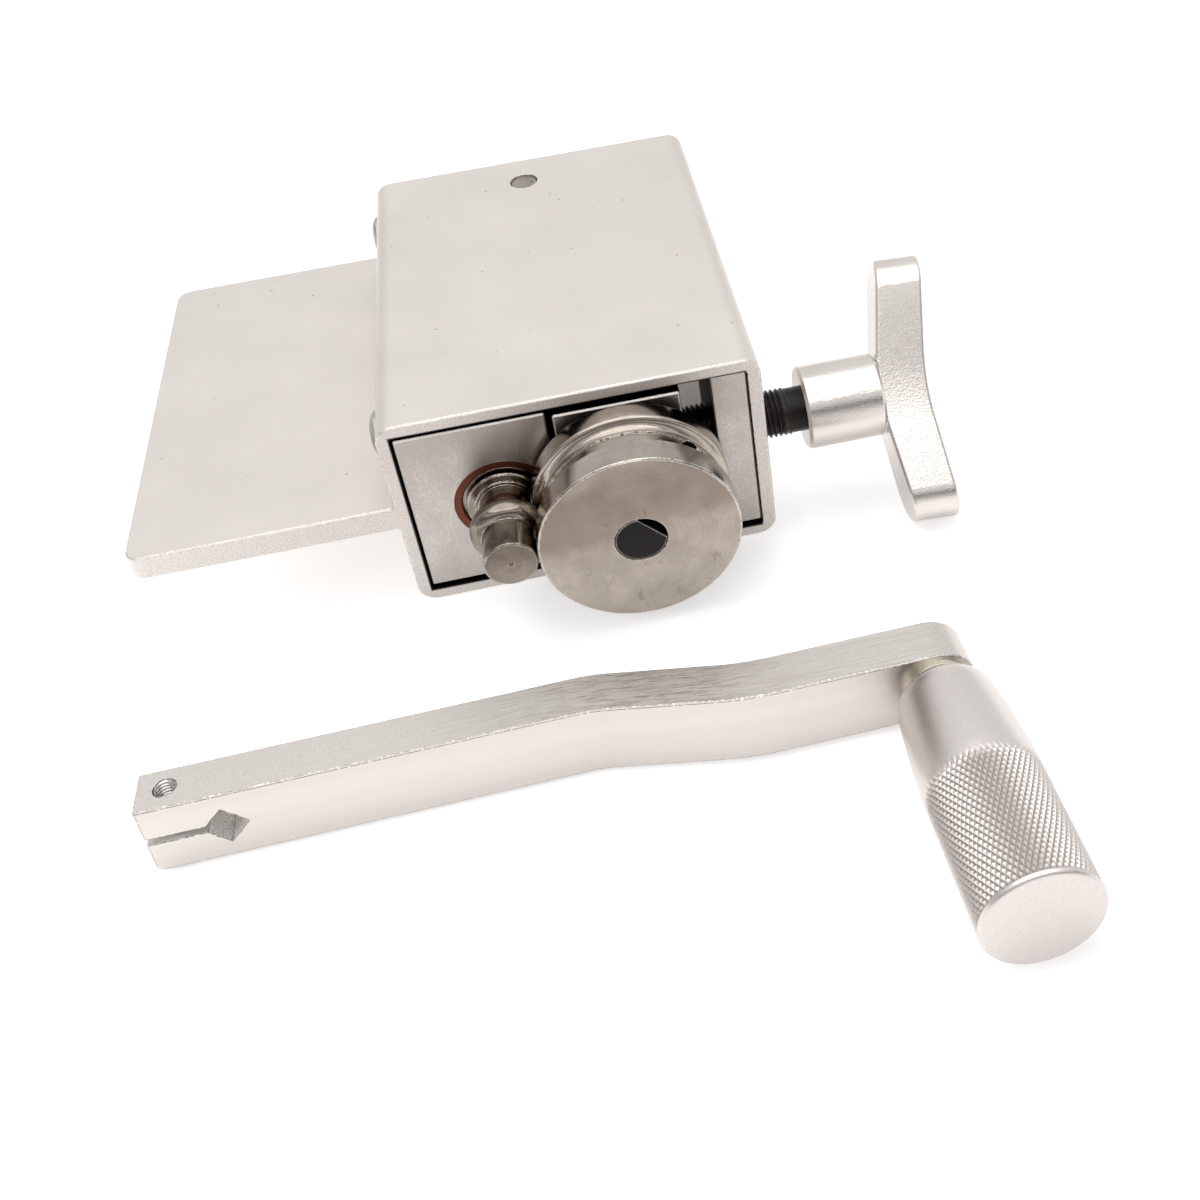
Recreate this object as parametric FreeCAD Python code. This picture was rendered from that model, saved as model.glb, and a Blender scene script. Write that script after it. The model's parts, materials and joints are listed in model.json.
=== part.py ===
import FreeCAD, Part
import math
import os

from FreeCAD import Vector

os.makedirs("parts", exist_ok=True)

# Hand cranked bead roller: a square tube housing with a vise flange holds two
# blocks. The fixed block carries the small bead die. The other block swings on
# two pins at the rear, carries the grooved die, and is pushed home by a
# T-handled screw. The crank lies in front of the roller, taken off its shaft.
# Millimetres. Origin: middle of the housing's underside. X right, Y back, Z up.

# ---- housing -------------------------------------------------------------
housing_width = 90.0
housing_height = 54.7
housing_depth = 115.3
housing_wall = 3.25
housing_corner = 4.5
housing_inner_corner = 0.8
flange_reach = 63.0
flange_thickness = 6.6
flange_top = 31.1
flange_corner = 4.0
flange_root_fillet = 1.2
edge_break = 0.4

# ---- blocks --------------------------------------------------------------
axis_height = 26.8
block_length = 112.3
block_recess = 0.5
block_edge = 0.4
fixed_block_width = 35.3
fixed_block_side_gap = 0.3
fixed_block_top_gap = 1.3
fixed_block_bottom_gap = 1.0
block_parting = 1.5
swing_block_width = 30.2
swing_block_top_gap = 2.6
swing_block_bottom_gap = 2.0
nut_block_thickness = 8.7
nut_block_depth = 28.0
nut_block_side_gap = 0.3
nut_block_top_gap = 0.1
nut_block_bottom_gap = 1.2

# ---- pivot ---------------------------------------------------------------
pivot_x = -2.3
pivot_from_rear = 12.9
pivot_radius = 3.86
pivot_engagement = 8.0
pivot_end_recess = 0.4
pivot_chamfer = 0.5
pivot_mark_radius = 0.5
pivot_mark_offset = 2.1
pivot_mark_depth = 0.6
pivot_washer_radius = 7.0
lug_left = -8.3
lug_length = 28.0

# ---- dies and spindles ---------------------------------------------------
nip_gap = 0.1
idler_axis_inset = 13.35
idler_journal_radius = 9.8
idler_journal_length = 22.0
idler_journal_proud = 1.4
idler_nose_radius = 9.1
idler_nose_run = 1.0
idler_collar_step_radius = 7.0
idler_collar_step_height = 0.4
idler_shank_radius = 6.2
bead_die_length = 21.0
bead_land_radius = 6.25
bead_land_length = 8.8
bead_half_width = 3.0
bead_height = 2.6
bead_neck_radius = 6.2
centre_mark_radius = 0.7
centre_mark_depth = 0.7
die_radius = 23.55
die_front_overhang = 22.2
die_length = 20.5
die_front_land = 6.7
die_groove_depth = 2.75
die_groove_floor_length = 5.05
die_groove_front_run = 1.0
die_groove_step = 0.4
die_groove_rear_run = 2.3
die_shoulder_radius = 0.9
die_chamfer = 0.35
drive_radius = 6.2
drive_flat_distance = 3.85
drive_flat_length = 19.0
drive_flat_angle = 42.8
drive_square = 6.65
drive_square_length = 12.0
drive_square_start = 1.5
set_screw_radius = 3.0
set_screw_length = 9.0
set_screw_socket = 3.0
set_screw_socket_depth = 2.5

# ---- bushes, rings and washers -------------------------------------------
idler_bush_wall = 2.05
idler_rear_bush_wall = 1.8
drive_bush_wall = 2.8
front_bush_length = 22.0
rear_bush_length = 16.0
bush_flange_radius = 11.0
bush_flange_end_gap = 0.1
bush_lead_in = 0.3
thrust_washer_thickness = 1.9
bore_relief = 1.8
ring_thickness = 1.2
ring_groove_depth = 0.5
ring_height = 2.0
ring_opening = 3.0
ring_end_gap = 0.2

# ---- T-handled clamp screw -----------------------------------------------
clamp_from_front = 13.2
clamp_radius = 6.0
clamp_pitch = 1.25
clamp_turns = 3
clamp_thread_end = 7.4
clamp_shank_radius = 5.65
clamp_wall_hole_clearance = 0.6
pad_radius = 5.0
pad_thickness = 2.0
pad_dome = 0.6
pad_stem_radius = 2.4
pad_stem_length = 4.0
pad_recess_radius = 8.0
pad_recess_depth = 2.2
hub_radius = 10.55
hub_start = 10.9
hub_length = 19.2
hub_bore_depth = 16.0
hub_chamfer = 0.8
hub_into_bar = 0.5
bar_waist = 12.0
bar_waist_angle = 4.0
bar_half_length = 33.2
bar_width = 12.6
bar_inner_sweep = 8.5
bar_outer_sweep = 6.4
bar_bend_half = 9.0
bar_edge = 0.9
bar_lean = 43.0
bar_tilt = 2.8
hub_set_screw_radius = 2.5
hub_set_screw_length = 6.0
hub_set_screw_from_face = 8.0

# ---- button head screws --------------------------------------------------
button_head_radius = 5.8
button_head_height = 2.1
button_head_rim = 0.6
button_socket = 4.0
button_socket_depth = 1.3
button_shank_radius = 3.0
button_length = 15.0
nut_screw_length = 10.0
button_end_inset = 12.0
button_from_top = 10.2
nut_screw_spread = 16.0
flat_head_radius = 5.6

# ---- crank, taken off ----------------------------------------------------
crank_left = -101.3
crank_front = -121.8
crank_yaw = 1.15
crank_roll = 4.1
arm_height = 17.6
arm_thickness = 10.8
arm_reach = 167.3
arm_offset = 6.7
arm_grip_height = 9.3
arm_first_bend = 95.0
arm_second_bend = 127.0
arm_first_bend_radius = 30.0
arm_second_bend_radius = 60.0
arm_toe_radius = 1.8
arm_edge = 0.3
socket_centre = 16.5
socket_relief = 0.15
slit_width = 1.75
clamp_hole_centre = 5.9
clamp_hole_tap_radius = 2.5
clamp_hole_clear_radius = 2.75
crank_screw_radius = 2.45
crank_screw_head_radius = 4.1
crank_screw_head_height = 3.6
crank_screw_head_sunk = 0.4
crank_screw_counterbore = 4.4
crank_screw_bite = 3.0
grip_radius = 12.4
grip_mouth_radius = 7.4
grip_shoulder_radius = 10.6
grip_end_radius = 11.9
grip_end_rise = 0.5
grip_start = 2.8
grip_shoulder = 3.0
grip_taper_end = 27.0
grip_taper_rise = 0.82
grip_length = 57.3
grip_bore_end_wall = 8.0
grip_spindle_radius = 5.0
grip_boss_radius = 7.5
grip_boss_thickness = 1.7
grip_bush_radius = 6.9
grip_bush_length = 8.0
grip_head_radius = 6.0
grip_head_length = 2.8
grip_tail_radius = 4.0
grip_tail_length = 7.0
spindle_screw_radius = 2.45
spindle_screw_head_radius = 4.8
spindle_screw_head_height = 2.4
spindle_screw_grip = 9.0

# ---- fits ----------------------------------------------------------------
running = 0.04
seat = 0.02
axial = 0.1
square_clearance = 0.075

# ---- places worked out from the sizes above ------------------------------
front = -housing_depth / 2
rear = housing_depth / 2
left = -housing_width / 2
right = housing_width / 2
inner_top = housing_height - housing_wall
block_front = front + block_recess
block_rear = block_front + block_length

fixed_left = left + housing_wall + fixed_block_side_gap
fixed_right = fixed_left + fixed_block_width
swing_left = fixed_right + block_parting
swing_right = swing_left + swing_block_width
swing_bottom = housing_wall + swing_block_bottom_gap
swing_top = inner_top - swing_block_top_gap
nut_right = right - housing_wall - nut_block_side_gap
nut_left = nut_right - nut_block_thickness

idler_x = fixed_right - idler_axis_inset
drive_x = idler_x + bead_land_radius + die_radius + nip_gap
die_front = front - die_front_overhang
idler_shoulder = block_front - idler_journal_proud
bead_front = idler_shoulder - bead_die_length
die_rear = die_front + die_length
pivot_y = rear - pivot_from_rear
clamp_y = front + clamp_from_front
button_height = housing_height - button_from_top

idler_bush_radius = idler_journal_radius + running + idler_bush_wall
idler_rear_bush_radius = idler_shank_radius + running + idler_rear_bush_wall
drive_bush_radius = drive_radius + running + drive_bush_wall
idler_ledge = idler_shoulder + idler_journal_proud + idler_journal_length
lug_front = block_rear - lug_length
socket_size = drive_square + 2 * square_clearance

BACK = Vector(0, 1, 0)
RIGHT = Vector(1, 0, 0)
UP = Vector(0, 0, 1)


# ---- shape helpers -------------------------------------------------------
def box(x0, x1, y0, y1, z0, z1):
    return Part.makeBox(x1 - x0, y1 - y0, z1 - z0, Vector(x0, y0, z0))


def rod(radius, start, direction, length):
    return Part.makeCylinder(radius, length, start, direction)


def tube(outer, inner, start, direction, length):
    shape = rod(outer, start, direction, length)
    return shape.cut(rod(inner, start, direction, length))


def wire_face(points, normal_plane):
    """Closed face from (a, b) corners; a third and fourth value add an arc's middle point."""
    edges = []
    last = points[-1]
    for point in points:
        begin = normal_plane(last[0], last[1])
        end = normal_plane(point[0], point[1])
        if len(point) == 4:
            middle = normal_plane(point[2], point[3])
            edges.append(Part.Arc(begin, middle, end).toShape())
        elif begin.distanceToPoint(end) > 1e-7:
            edges.append(Part.makeLine(begin, end))
        last = point
    return Part.Face(Part.Wire(edges))


def turned(points, start, direction):
    """Lathe work: (along, radius) corners turned about an axis from start."""
    face = wire_face(points, lambda a, r: Vector(a, r, 0))
    shape = face.revolve(Vector(0, 0, 0), RIGHT, 360)
    shape.Placement = FreeCAD.Placement(start, FreeCAD.Rotation(RIGHT, direction))
    return shape


def hexagon(across, start, direction, length):
    corner = across / math.sqrt(3)
    points = []
    for step in range(7):
        angle = math.radians(60 * step)
        points.append(Vector(0, corner * math.cos(angle), corner * math.sin(angle)))
    shape = Part.Face(Part.makePolygon(points)).extrude(RIGHT * length)
    shape.Placement = FreeCAD.Placement(start, FreeCAD.Rotation(RIGHT, direction))
    return shape


def break_edges(shape, size, wanted):
    """Chamfer the edges that the test picks out."""
    picked = [edge for edge in shape.Edges if wanted(edge)]
    return shape.makeChamfer(size, picked)


def runs_along(edge, direction):
    if not isinstance(edge.Curve, Part.Line):
        return False
    return abs(edge.tangentAt(edge.FirstParameter).dot(direction)) > 0.999


def retaining_ring(groove_radius, start, direction):
    outer = groove_radius + ring_height
    ring = tube(outer, groove_radius, start, direction, ring_thickness)
    slot = Part.makeBox(ring_opening, 3 * ring_thickness, outer)
    slot.translate(Vector(start.x - ring_opening / 2, start.y - ring_thickness, start.z - outer))
    return ring.cut(slot)


def button_screw(start, direction, length):
    """Button head screw: start is the seat under the head, direction points into the work."""
    outward = direction * -1
    crown = button_head_height
    shape = turned(
        [
            (0, 0),
            (0, button_head_radius),
            (button_head_rim, button_head_radius),
            (crown, button_head_radius * 0.45, crown * 0.72, button_head_radius * 0.8),
            (crown, 0),
        ],
        start,
        outward,
    )
    shape = shape.fuse(rod(button_shank_radius, start, direction, length))
    socket_at = start + outward * (crown - button_socket_depth)
    return shape.cut(hexagon(button_socket, socket_at, outward, button_socket_depth + 1))


def flat_head(radius, start, direction):
    """Cone of a flat head screw, wide end at start."""
    return Part.makeCone(radius, button_shank_radius, radius - button_shank_radius,
                         start, direction)


def flat_screw(start, direction, length):
    shape = flat_head(flat_head_radius, start, direction)
    shape = shape.fuse(rod(button_shank_radius, start, direction, length))
    return shape.cut(hexagon(button_socket, start - direction, direction,
                             1 + button_socket_depth))


def set_screw(radius, tip, outward, length, socket):
    shape = rod(radius, tip, outward, length)
    socket_at = tip + outward * (length - set_screw_socket_depth)
    return shape.cut(hexagon(socket, socket_at, outward, set_screw_socket_depth + 1))


nodes = {}


# ---- housing -------------------------------------------------------------
def make_housing():
    shell = box(left, right, front, rear, 0, housing_height)
    shell = shell.makeFillet(housing_corner, [e for e in shell.Edges if runs_along(e, BACK)])
    hollow = box(left + housing_wall, right - housing_wall, front - 1, rear + 1,
                 housing_wall, inner_top)
    hollow = hollow.makeFillet(housing_inner_corner,
                               [e for e in hollow.Edges if runs_along(e, BACK)])
    flange_bottom = flange_top - flange_thickness
    plate = box(left - flange_reach, left + housing_wall / 2, front, rear,
                flange_bottom, flange_top)
    outer_corners = [e for e in plate.Edges
                     if runs_along(e, UP) and e.CenterOfMass.x < left - flange_reach / 2]
    plate = plate.makeFillet(flange_corner, outer_corners)
    shape = shell.fuse(plate).removeSplitter()
    roots = [e for e in shape.Edges
             if runs_along(e, BACK) and abs(e.CenterOfMass.x - left) < 0.01
             and flange_bottom - 0.1 < e.CenterOfMass.z < flange_top + 0.1]
    shape = shape.makeFillet(flange_root_fillet, roots)
    shape = shape.cut(hollow)

    def on_flange_rim(edge):
        low = edge.CenterOfMass
        at_face = abs(low.z - flange_top) < 0.01 or abs(low.z - flange_bottom) < 0.01
        return at_face and low.x < left - flange_root_fillet - 1

    shape = break_edges(shape, edge_break, on_flange_rim)
    pin_at = Vector(pivot_x, pivot_y, -1)
    shape = shape.cut(rod(pivot_radius + running, pin_at, UP, housing_height + 2))
    clamp_at = Vector(right - housing_wall - 1, clamp_y, axis_height)
    shape = shape.cut(rod(clamp_radius + clamp_wall_hole_clearance, clamp_at, RIGHT,
                          housing_wall + 2))
    for y in (front + button_end_inset, rear - button_end_inset):
        hole_at = Vector(left - 1, y, button_height)
        shape = shape.cut(rod(button_shank_radius + running, hole_at, RIGHT, housing_wall + 2))
    for sign in (-1, 1):
        hole_at = Vector(right, clamp_y, axis_height + sign * nut_screw_spread)
        shape = shape.cut(rod(button_shank_radius + running, hole_at, RIGHT * -1,
                              housing_wall + 1))
        shape = shape.cut(flat_head(flat_head_radius + running, hole_at, RIGHT * -1))
    return shape


nodes["housing"] = make_housing()


# ---- fixed block and its bush, washer and screws -------------------------
def is_outer_edge(edge):
    """Edges of a block seen from outside: not the ones around the hinge lug."""
    at_lug = edge.CenterOfMass.y > lug_front - 2 * block_parting
    inner = fixed_left + 1 < edge.CenterOfMass.x < swing_right - 1
    return not (at_lug and inner)


def make_fixed_block():
    shape = box(fixed_left, fixed_right, block_front, block_rear,
                housing_wall + fixed_block_bottom_gap, inner_top - fixed_block_top_gap)
    shape = shape.cut(box(lug_left - block_parting, right, lug_front - block_parting, rear,
                          0, housing_height))
    shape = break_edges(shape, block_edge, is_outer_edge)
    axis_at = Vector(idler_x, block_front - 1, axis_height)
    ledge = idler_ledge + thrust_washer_thickness + 2 * axial
    shape = shape.cut(rod(idler_bush_radius + seat, axis_at, BACK, ledge - axis_at.y))
    shape = shape.cut(rod(idler_shank_radius + bore_relief, axis_at, BACK, block_length + 2))
    rear_at = Vector(idler_x, block_rear - rear_bush_length, axis_height)
    shape = shape.cut(rod(idler_rear_bush_radius + seat, rear_at, BACK, rear_bush_length + 1))
    for y in (front + button_end_inset, rear - button_end_inset):
        hole_at = Vector(fixed_left - 1, y, button_height)
        depth = button_length - housing_wall - fixed_block_side_gap + 2
        shape = shape.cut(rod(button_shank_radius + running, hole_at, RIGHT, depth))
    return shape


nodes["fixed_block"] = make_fixed_block()
nodes["fixed_block_screws"] = Part.makeCompound([
    button_screw(Vector(left, y, button_height), RIGHT, button_length)
    for y in (front + button_end_inset, rear - button_end_inset)
])
nodes["idler_front_bush"] = turned(
    [
        (0, idler_journal_radius + running + bush_lead_in),
        (0, idler_bush_radius),
        (front_bush_length, idler_bush_radius),
        (front_bush_length, idler_journal_radius + running),
        (bush_lead_in, idler_journal_radius + running),
    ],
    Vector(idler_x, block_front, axis_height),
    BACK,
)
nodes["idler_rear_bush"] = tube(
    idler_rear_bush_radius, idler_shank_radius + running,
    Vector(idler_x, block_rear - rear_bush_length, axis_height), BACK, rear_bush_length)
nodes["idler_thrust_washer"] = tube(
    idler_bush_radius - axial, idler_shank_radius + axial,
    Vector(idler_x, idler_ledge + axial, axis_height), BACK, thrust_washer_thickness)


# ---- bead die, turned in one piece with its shaft ------------------------
def make_bead_die_shaft():
    bead_start = bead_land_length
    bead_end = bead_land_length + 2 * bead_half_width
    collar = bead_die_length
    nose_end = collar + idler_journal_proud + idler_nose_run
    ledge = collar + idler_journal_proud + idler_journal_length
    end = block_rear + ring_end_gap + ring_thickness + 1 - bead_front
    groove = block_rear + ring_end_gap - bead_front
    floor = idler_shank_radius - ring_groove_depth
    shape = turned(
        [
            (centre_mark_depth, 0),
            (0, centre_mark_radius),
            (0, bead_land_radius - die_chamfer),
            (die_chamfer, bead_land_radius),
            (bead_start, bead_land_radius),
            (bead_end, bead_neck_radius, bead_start + bead_half_width,
             bead_land_radius + bead_height),
            (collar - idler_collar_step_height, bead_neck_radius),
            (collar - idler_collar_step_height, idler_collar_step_radius),
            (collar, idler_collar_step_radius),
            (collar, idler_nose_radius - die_chamfer),
            (collar + die_chamfer, idler_nose_radius),
            (nose_end, idler_nose_radius),
            (nose_end, idler_journal_radius),
            (ledge, idler_journal_radius),
            (ledge, idler_shank_radius),
            (groove, idler_shank_radius),
            (groove, floor),
            (groove + ring_thickness + 0.1, floor),
            (groove + ring_thickness + 0.1, idler_shank_radius),
            (end, idler_shank_radius),
            (end, 0),
        ],
        Vector(idler_x, bead_front, axis_height),
        BACK,
    )
    return shape


nodes["bead_die_shaft"] = make_bead_die_shaft()
nodes["idler_retaining_ring"] = retaining_ring(
    idler_shank_radius - ring_groove_depth + seat,
    Vector(idler_x, block_rear + ring_end_gap + 0.05, axis_height), BACK)


# ---- nut block -----------------------------------------------------------
def make_nut_block():
    shape = box(nut_left, nut_right, block_front, block_front + nut_block_depth,
                housing_wall + nut_block_bottom_gap, inner_top - nut_block_top_gap)
    shape = break_edges(shape, block_edge, lambda e: True)
    screw_at = Vector(nut_left - 1, clamp_y, axis_height)
    shape = shape.cut(rod(clamp_radius + running, screw_at, RIGHT, nut_block_thickness + 2))
    for sign in (-1, 1):
        hole_at = Vector(nut_left + 1, clamp_y, axis_height + sign * nut_screw_spread)
        shape = shape.cut(rod(button_shank_radius + running, hole_at, RIGHT,
                              nut_block_thickness + 2))
    return shape


nodes["nut_block"] = make_nut_block()
nodes["nut_block_screws"] = Part.makeCompound([
    flat_screw(Vector(right, clamp_y, axis_height + sign * nut_screw_spread),
               RIGHT * -1, nut_screw_length)
    for sign in (-1, 1)
])


# ---- pivot pins and washer -----------------------------------------------
def pivot_pin(outer_end, inward):
    length = abs(outer_end.z - (swing_top if inward.z < 0 else swing_bottom)) + pivot_engagement
    shape = turned(
        [
            (0, 0),
            (0, pivot_radius - pivot_chamfer),
            (pivot_chamfer, pivot_radius),
            (length - pivot_chamfer, pivot_radius),
            (length, pivot_radius - pivot_chamfer),
            (length, 0),
        ],
        outer_end,
        inward,
    )
    mark_at = outer_end + RIGHT * pivot_mark_offset - inward
    return shape.cut(rod(pivot_mark_radius, mark_at, inward, 1 + pivot_mark_depth))


nodes["pivot_pin_upper"] = pivot_pin(
    Vector(pivot_x, pivot_y, housing_height - pivot_end_recess), UP * -1)
nodes["pivot_pin_lower"] = pivot_pin(Vector(pivot_x, pivot_y, pivot_end_recess), UP)
nodes["pivot_washer"] = tube(
    pivot_washer_radius, pivot_radius + axial,
    Vector(pivot_x, pivot_y, housing_wall), UP, swing_block_bottom_gap - axial)


# ---- swing block and its bushes ------------------------------------------
def make_swing_block():
    shape = box(swing_left, swing_right, block_front, block_rear, swing_bottom, swing_top)
    lug = box(lug_left, swing_right, lug_front, block_rear, swing_bottom, swing_top)
    shape = shape.fuse(lug).removeSplitter()
    shape = break_edges(shape, block_edge, is_outer_edge)
    axis_at = Vector(drive_x, block_front - 1, axis_height)
    shape = shape.cut(rod(drive_radius + bore_relief, axis_at, BACK, block_length + 2))
    shape = shape.cut(rod(drive_bush_radius + seat, axis_at, BACK, front_bush_length + 1))
    rear_at = Vector(drive_x, block_rear - rear_bush_length, axis_height)
    shape = shape.cut(rod(drive_bush_radius + seat, rear_at, BACK, rear_bush_length + 1))
    depth = pivot_engagement + axial
    for start, inward in ((swing_top + 1, UP * -1), (swing_bottom - 1, UP)):
        pin_hole = rod(pivot_radius + running, Vector(pivot_x, pivot_y, start), inward, depth + 1)
        shape = shape.cut(pin_hole)
    recess_at = Vector(swing_right - pad_recess_depth, clamp_y, axis_height)
    return shape.cut(rod(pad_recess_radius, recess_at, RIGHT, pad_recess_depth + 1))


nodes["swing_block"] = make_swing_block()


def make_drive_front_bush():
    flange = block_front - die_rear - bush_flange_end_gap
    start = Vector(drive_x, block_front - flange, axis_height)
    shape = rod(bush_flange_radius, start, BACK, flange)
    shape = shape.fuse(rod(drive_bush_radius, start, BACK, flange + front_bush_length))
    return shape.cut(rod(drive_radius + running, start, BACK, flange + front_bush_length))


nodes["drive_front_bush"] = make_drive_front_bush()
nodes["drive_rear_bush"] = tube(
    drive_bush_radius, drive_radius + running,
    Vector(drive_x, block_rear - rear_bush_length, axis_height), BACK, rear_bush_length)


# ---- drive shaft, grooved die, set screw and ring ------------------------
def make_drive_shaft():
    start = Vector(drive_x, die_front, axis_height)
    round_end = rear + drive_square_start
    shape = turned(
        [
            (0, 0),
            (0, drive_radius - die_chamfer),
            (die_chamfer, drive_radius),
            (round_end - die_front, drive_radius),
            (round_end - die_front, 0),
        ],
        start,
        BACK,
    )
    half = drive_square / 2
    square = box(-half, half, 0, drive_square_length, -half, half)
    square = break_edges(square, edge_break, lambda e: e.CenterOfMass.y > drive_square_length - 0.01)
    square.translate(Vector(drive_x, round_end, axis_height))
    shape = shape.fuse(square)
    flat = box(drive_flat_distance, 2 * drive_radius, -1, drive_flat_length,
               -2 * drive_radius, 2 * drive_radius)
    flat.rotate(Vector(0, 0, 0), BACK, -drive_flat_angle)
    flat.translate(start)
    shape = shape.cut(flat)
    groove_at = Vector(drive_x, block_rear + ring_end_gap, axis_height)
    groove = tube(2 * drive_radius, drive_radius - ring_groove_depth, groove_at, BACK,
                  ring_thickness + 0.1)
    return shape.cut(groove)


def die_outline():
    """Grooved die from its front face: (along, radius) corners."""
    bore = drive_radius + running
    floor = die_radius - die_groove_depth
    groove_start = die_front_land
    floor_start = groove_start + die_groove_front_run
    floor_end = floor_start + die_groove_floor_length
    lip = floor + die_groove_step
    wall_end = floor_end + die_groove_rear_run
    wall_top = die_radius - die_shoulder_radius
    hollow_along = floor_end + die_groove_rear_run * 0.72
    hollow_radius = lip + (wall_top - lip) * 0.3
    corner = die_shoulder_radius * (1 - math.sqrt(0.5))
    return [
        (0, bore),
        (0, die_radius - die_chamfer),
        (die_chamfer, die_radius),
        (groove_start, die_radius),
        (floor_start, floor),
        (floor_end, floor),
        (floor_end, lip),
        (wall_end, wall_top, hollow_along, hollow_radius),
        (wall_end + die_shoulder_radius, die_radius, wall_end + corner, die_radius - corner),
        (die_length - die_chamfer, die_radius),
        (die_length, die_radius - die_chamfer),
        (die_length, bore),
    ]


flat_direction = Vector(math.cos(math.radians(drive_flat_angle)), 0,
                        math.sin(math.radians(drive_flat_angle)))
set_screw_along = die_front_land + die_groove_front_run + die_groove_floor_length / 2
set_screw_axis = Vector(drive_x, die_front + set_screw_along, axis_height)


def make_grooved_die():
    shape = turned(die_outline(), Vector(drive_x, die_front, axis_height), BACK)
    return shape.cut(rod(set_screw_radius + running, set_screw_axis, flat_direction,
                         die_radius + 1))


nodes["drive_shaft"] = make_drive_shaft()
nodes["grooved_die"] = make_grooved_die()
nodes["die_set_screw"] = set_screw(
    set_screw_radius, set_screw_axis + flat_direction * (drive_flat_distance + seat),
    flat_direction, set_screw_length, set_screw_socket)
nodes["drive_retaining_ring"] = retaining_ring(
    drive_radius - ring_groove_depth + seat,
    Vector(drive_x, block_rear + ring_end_gap + 0.05, axis_height), BACK)


# ---- thrust pad, clamp screw and T-handle --------------------------------
pad_nose = swing_right - pad_recess_depth + axial / 2
pad_back = pad_nose + pad_thickness
screw_tip = pad_back + axial / 2
hub_face = right + hub_start
bar_inner = hub_face + hub_length

nodes["thrust_pad"] = turned(
    [
        (0, 0),
        (pad_dome, pad_radius, pad_dome * 0.25, pad_radius * 0.5),
        (pad_thickness, pad_radius),
        (pad_thickness, pad_stem_radius),
        (pad_thickness + pad_stem_length, pad_stem_radius),
        (pad_thickness + pad_stem_length, 0),
    ],
    Vector(pad_nose, clamp_y, axis_height),
    RIGHT,
)


def make_clamp_screw():
    thread_end = right + clamp_thread_end
    shank_end = hub_face + hub_bore_depth - axial
    start = Vector(screw_tip, clamp_y, axis_height)
    shape = rod(clamp_radius, start, RIGHT, thread_end - screw_tip)
    shape = shape.fuse(rod(clamp_shank_radius, start, RIGHT, shank_end - screw_tip))
    return shape.cut(rod(pad_stem_radius + running, start, RIGHT, pad_stem_length + axial))


def bar_rise(angle):
    """How far a side that bends by the angle lies off its middle: at the bend and at the end."""
    turn = math.radians(angle)
    bend = bar_bend_half * math.tan(turn / 2)
    return bend, bend + (bar_half_length - bar_bend_half) * math.tan(turn)


def bar_plan():
    """T-bar seen square on: (outward, along) corners, its arms swept off the hub and tapered."""
    inner_bend, inner_end = bar_rise(bar_inner_sweep)
    outer_bend, outer_end = bar_rise(bar_outer_sweep)
    outer = bar_inner + bar_width
    return [
        (bar_inner + inner_end, bar_half_length),
        (bar_inner + inner_bend, bar_bend_half),
        (bar_inner + inner_bend, -bar_bend_half, bar_inner, 0),
        (bar_inner + inner_end, -bar_half_length),
        (outer + outer_end, -bar_half_length),
        (outer + outer_bend, -bar_bend_half),
        (outer + outer_bend, bar_bend_half, outer, 0),
        (outer + outer_end, bar_half_length),
    ]


def bar_profile():
    """T-bar seen along the screw: (depth, along) corners, a waist and round ends touching it."""
    turn = math.radians(bar_waist_angle)
    waist = bar_waist / 2
    bend, widest = (waist + rise for rise in bar_rise(bar_waist_angle))
    cap = widest * math.cos(turn) / (1 + math.sin(turn))
    across = cap * math.cos(turn)
    up = bar_half_length - cap - cap * math.sin(turn)
    return [
        (across, up),
        (bend, bar_bend_half),
        (bend, -bar_bend_half, waist, 0),
        (across, -up),
        (-across, -up, 0, -bar_half_length),
        (-bend, -bar_bend_half),
        (-bend, bar_bend_half, -waist, 0),
        (-across, up),
        (across, up, 0, bar_half_length),
    ]


lean = FreeCAD.Rotation(RIGHT, -bar_lean)


def make_t_handle():
    deep = bar_half_length
    bar = wire_face(bar_plan(), lambda x, z: Vector(x, -deep, z)).extrude(BACK * 2 * deep)
    side = wire_face(bar_profile(), lambda y, z: Vector(hub_face, y, z))
    bar = bar.common(side.extrude(RIGHT * (hub_length + 2 * bar_width))).removeSplitter()
    bar = bar.makeFillet(bar_edge, bar.Edges)
    middle = Vector(bar_inner + bar_width / 2, 0, 0)
    bar.Placement = FreeCAD.Placement(Vector(0, 0, 0), FreeCAD.Rotation(BACK, bar_tilt), middle)
    onto_hub = FreeCAD.Placement(Vector(0, clamp_y, axis_height), lean)
    bar.Placement = onto_hub.multiply(bar.Placement)
    hub_at = Vector(hub_face, clamp_y, axis_height)
    reach = hub_length + hub_into_bar
    hub = turned(
        [
            (0, 0),
            (0, hub_radius - hub_chamfer),
            (hub_chamfer, hub_radius),
            (reach - hub_chamfer, hub_radius),
            (reach, hub_radius - hub_chamfer),
            (reach, 0),
        ],
        hub_at,
        RIGHT,
    )
    shape = hub.fuse(bar)
    shape = shape.cut(rod(clamp_shank_radius + seat, hub_at, RIGHT, hub_bore_depth))
    return shape.cut(rod(hub_set_screw_radius + seat, hub_screw_axis, hub_screw_out,
                         hub_radius + 1))


hub_screw_out = lean.multVec(BACK)
hub_screw_axis = Vector(hub_face + hub_set_screw_from_face, clamp_y, axis_height)
nodes["clamp_screw"] = make_clamp_screw()
nodes["t_handle"] = make_t_handle()
nodes["t_handle_set_screw"] = set_screw(
    hub_set_screw_radius, hub_screw_axis + hub_screw_out * (clamp_shank_radius + seat),
    hub_screw_out, hub_radius - clamp_shank_radius - 0.5, hub_set_screw_radius)


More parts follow.
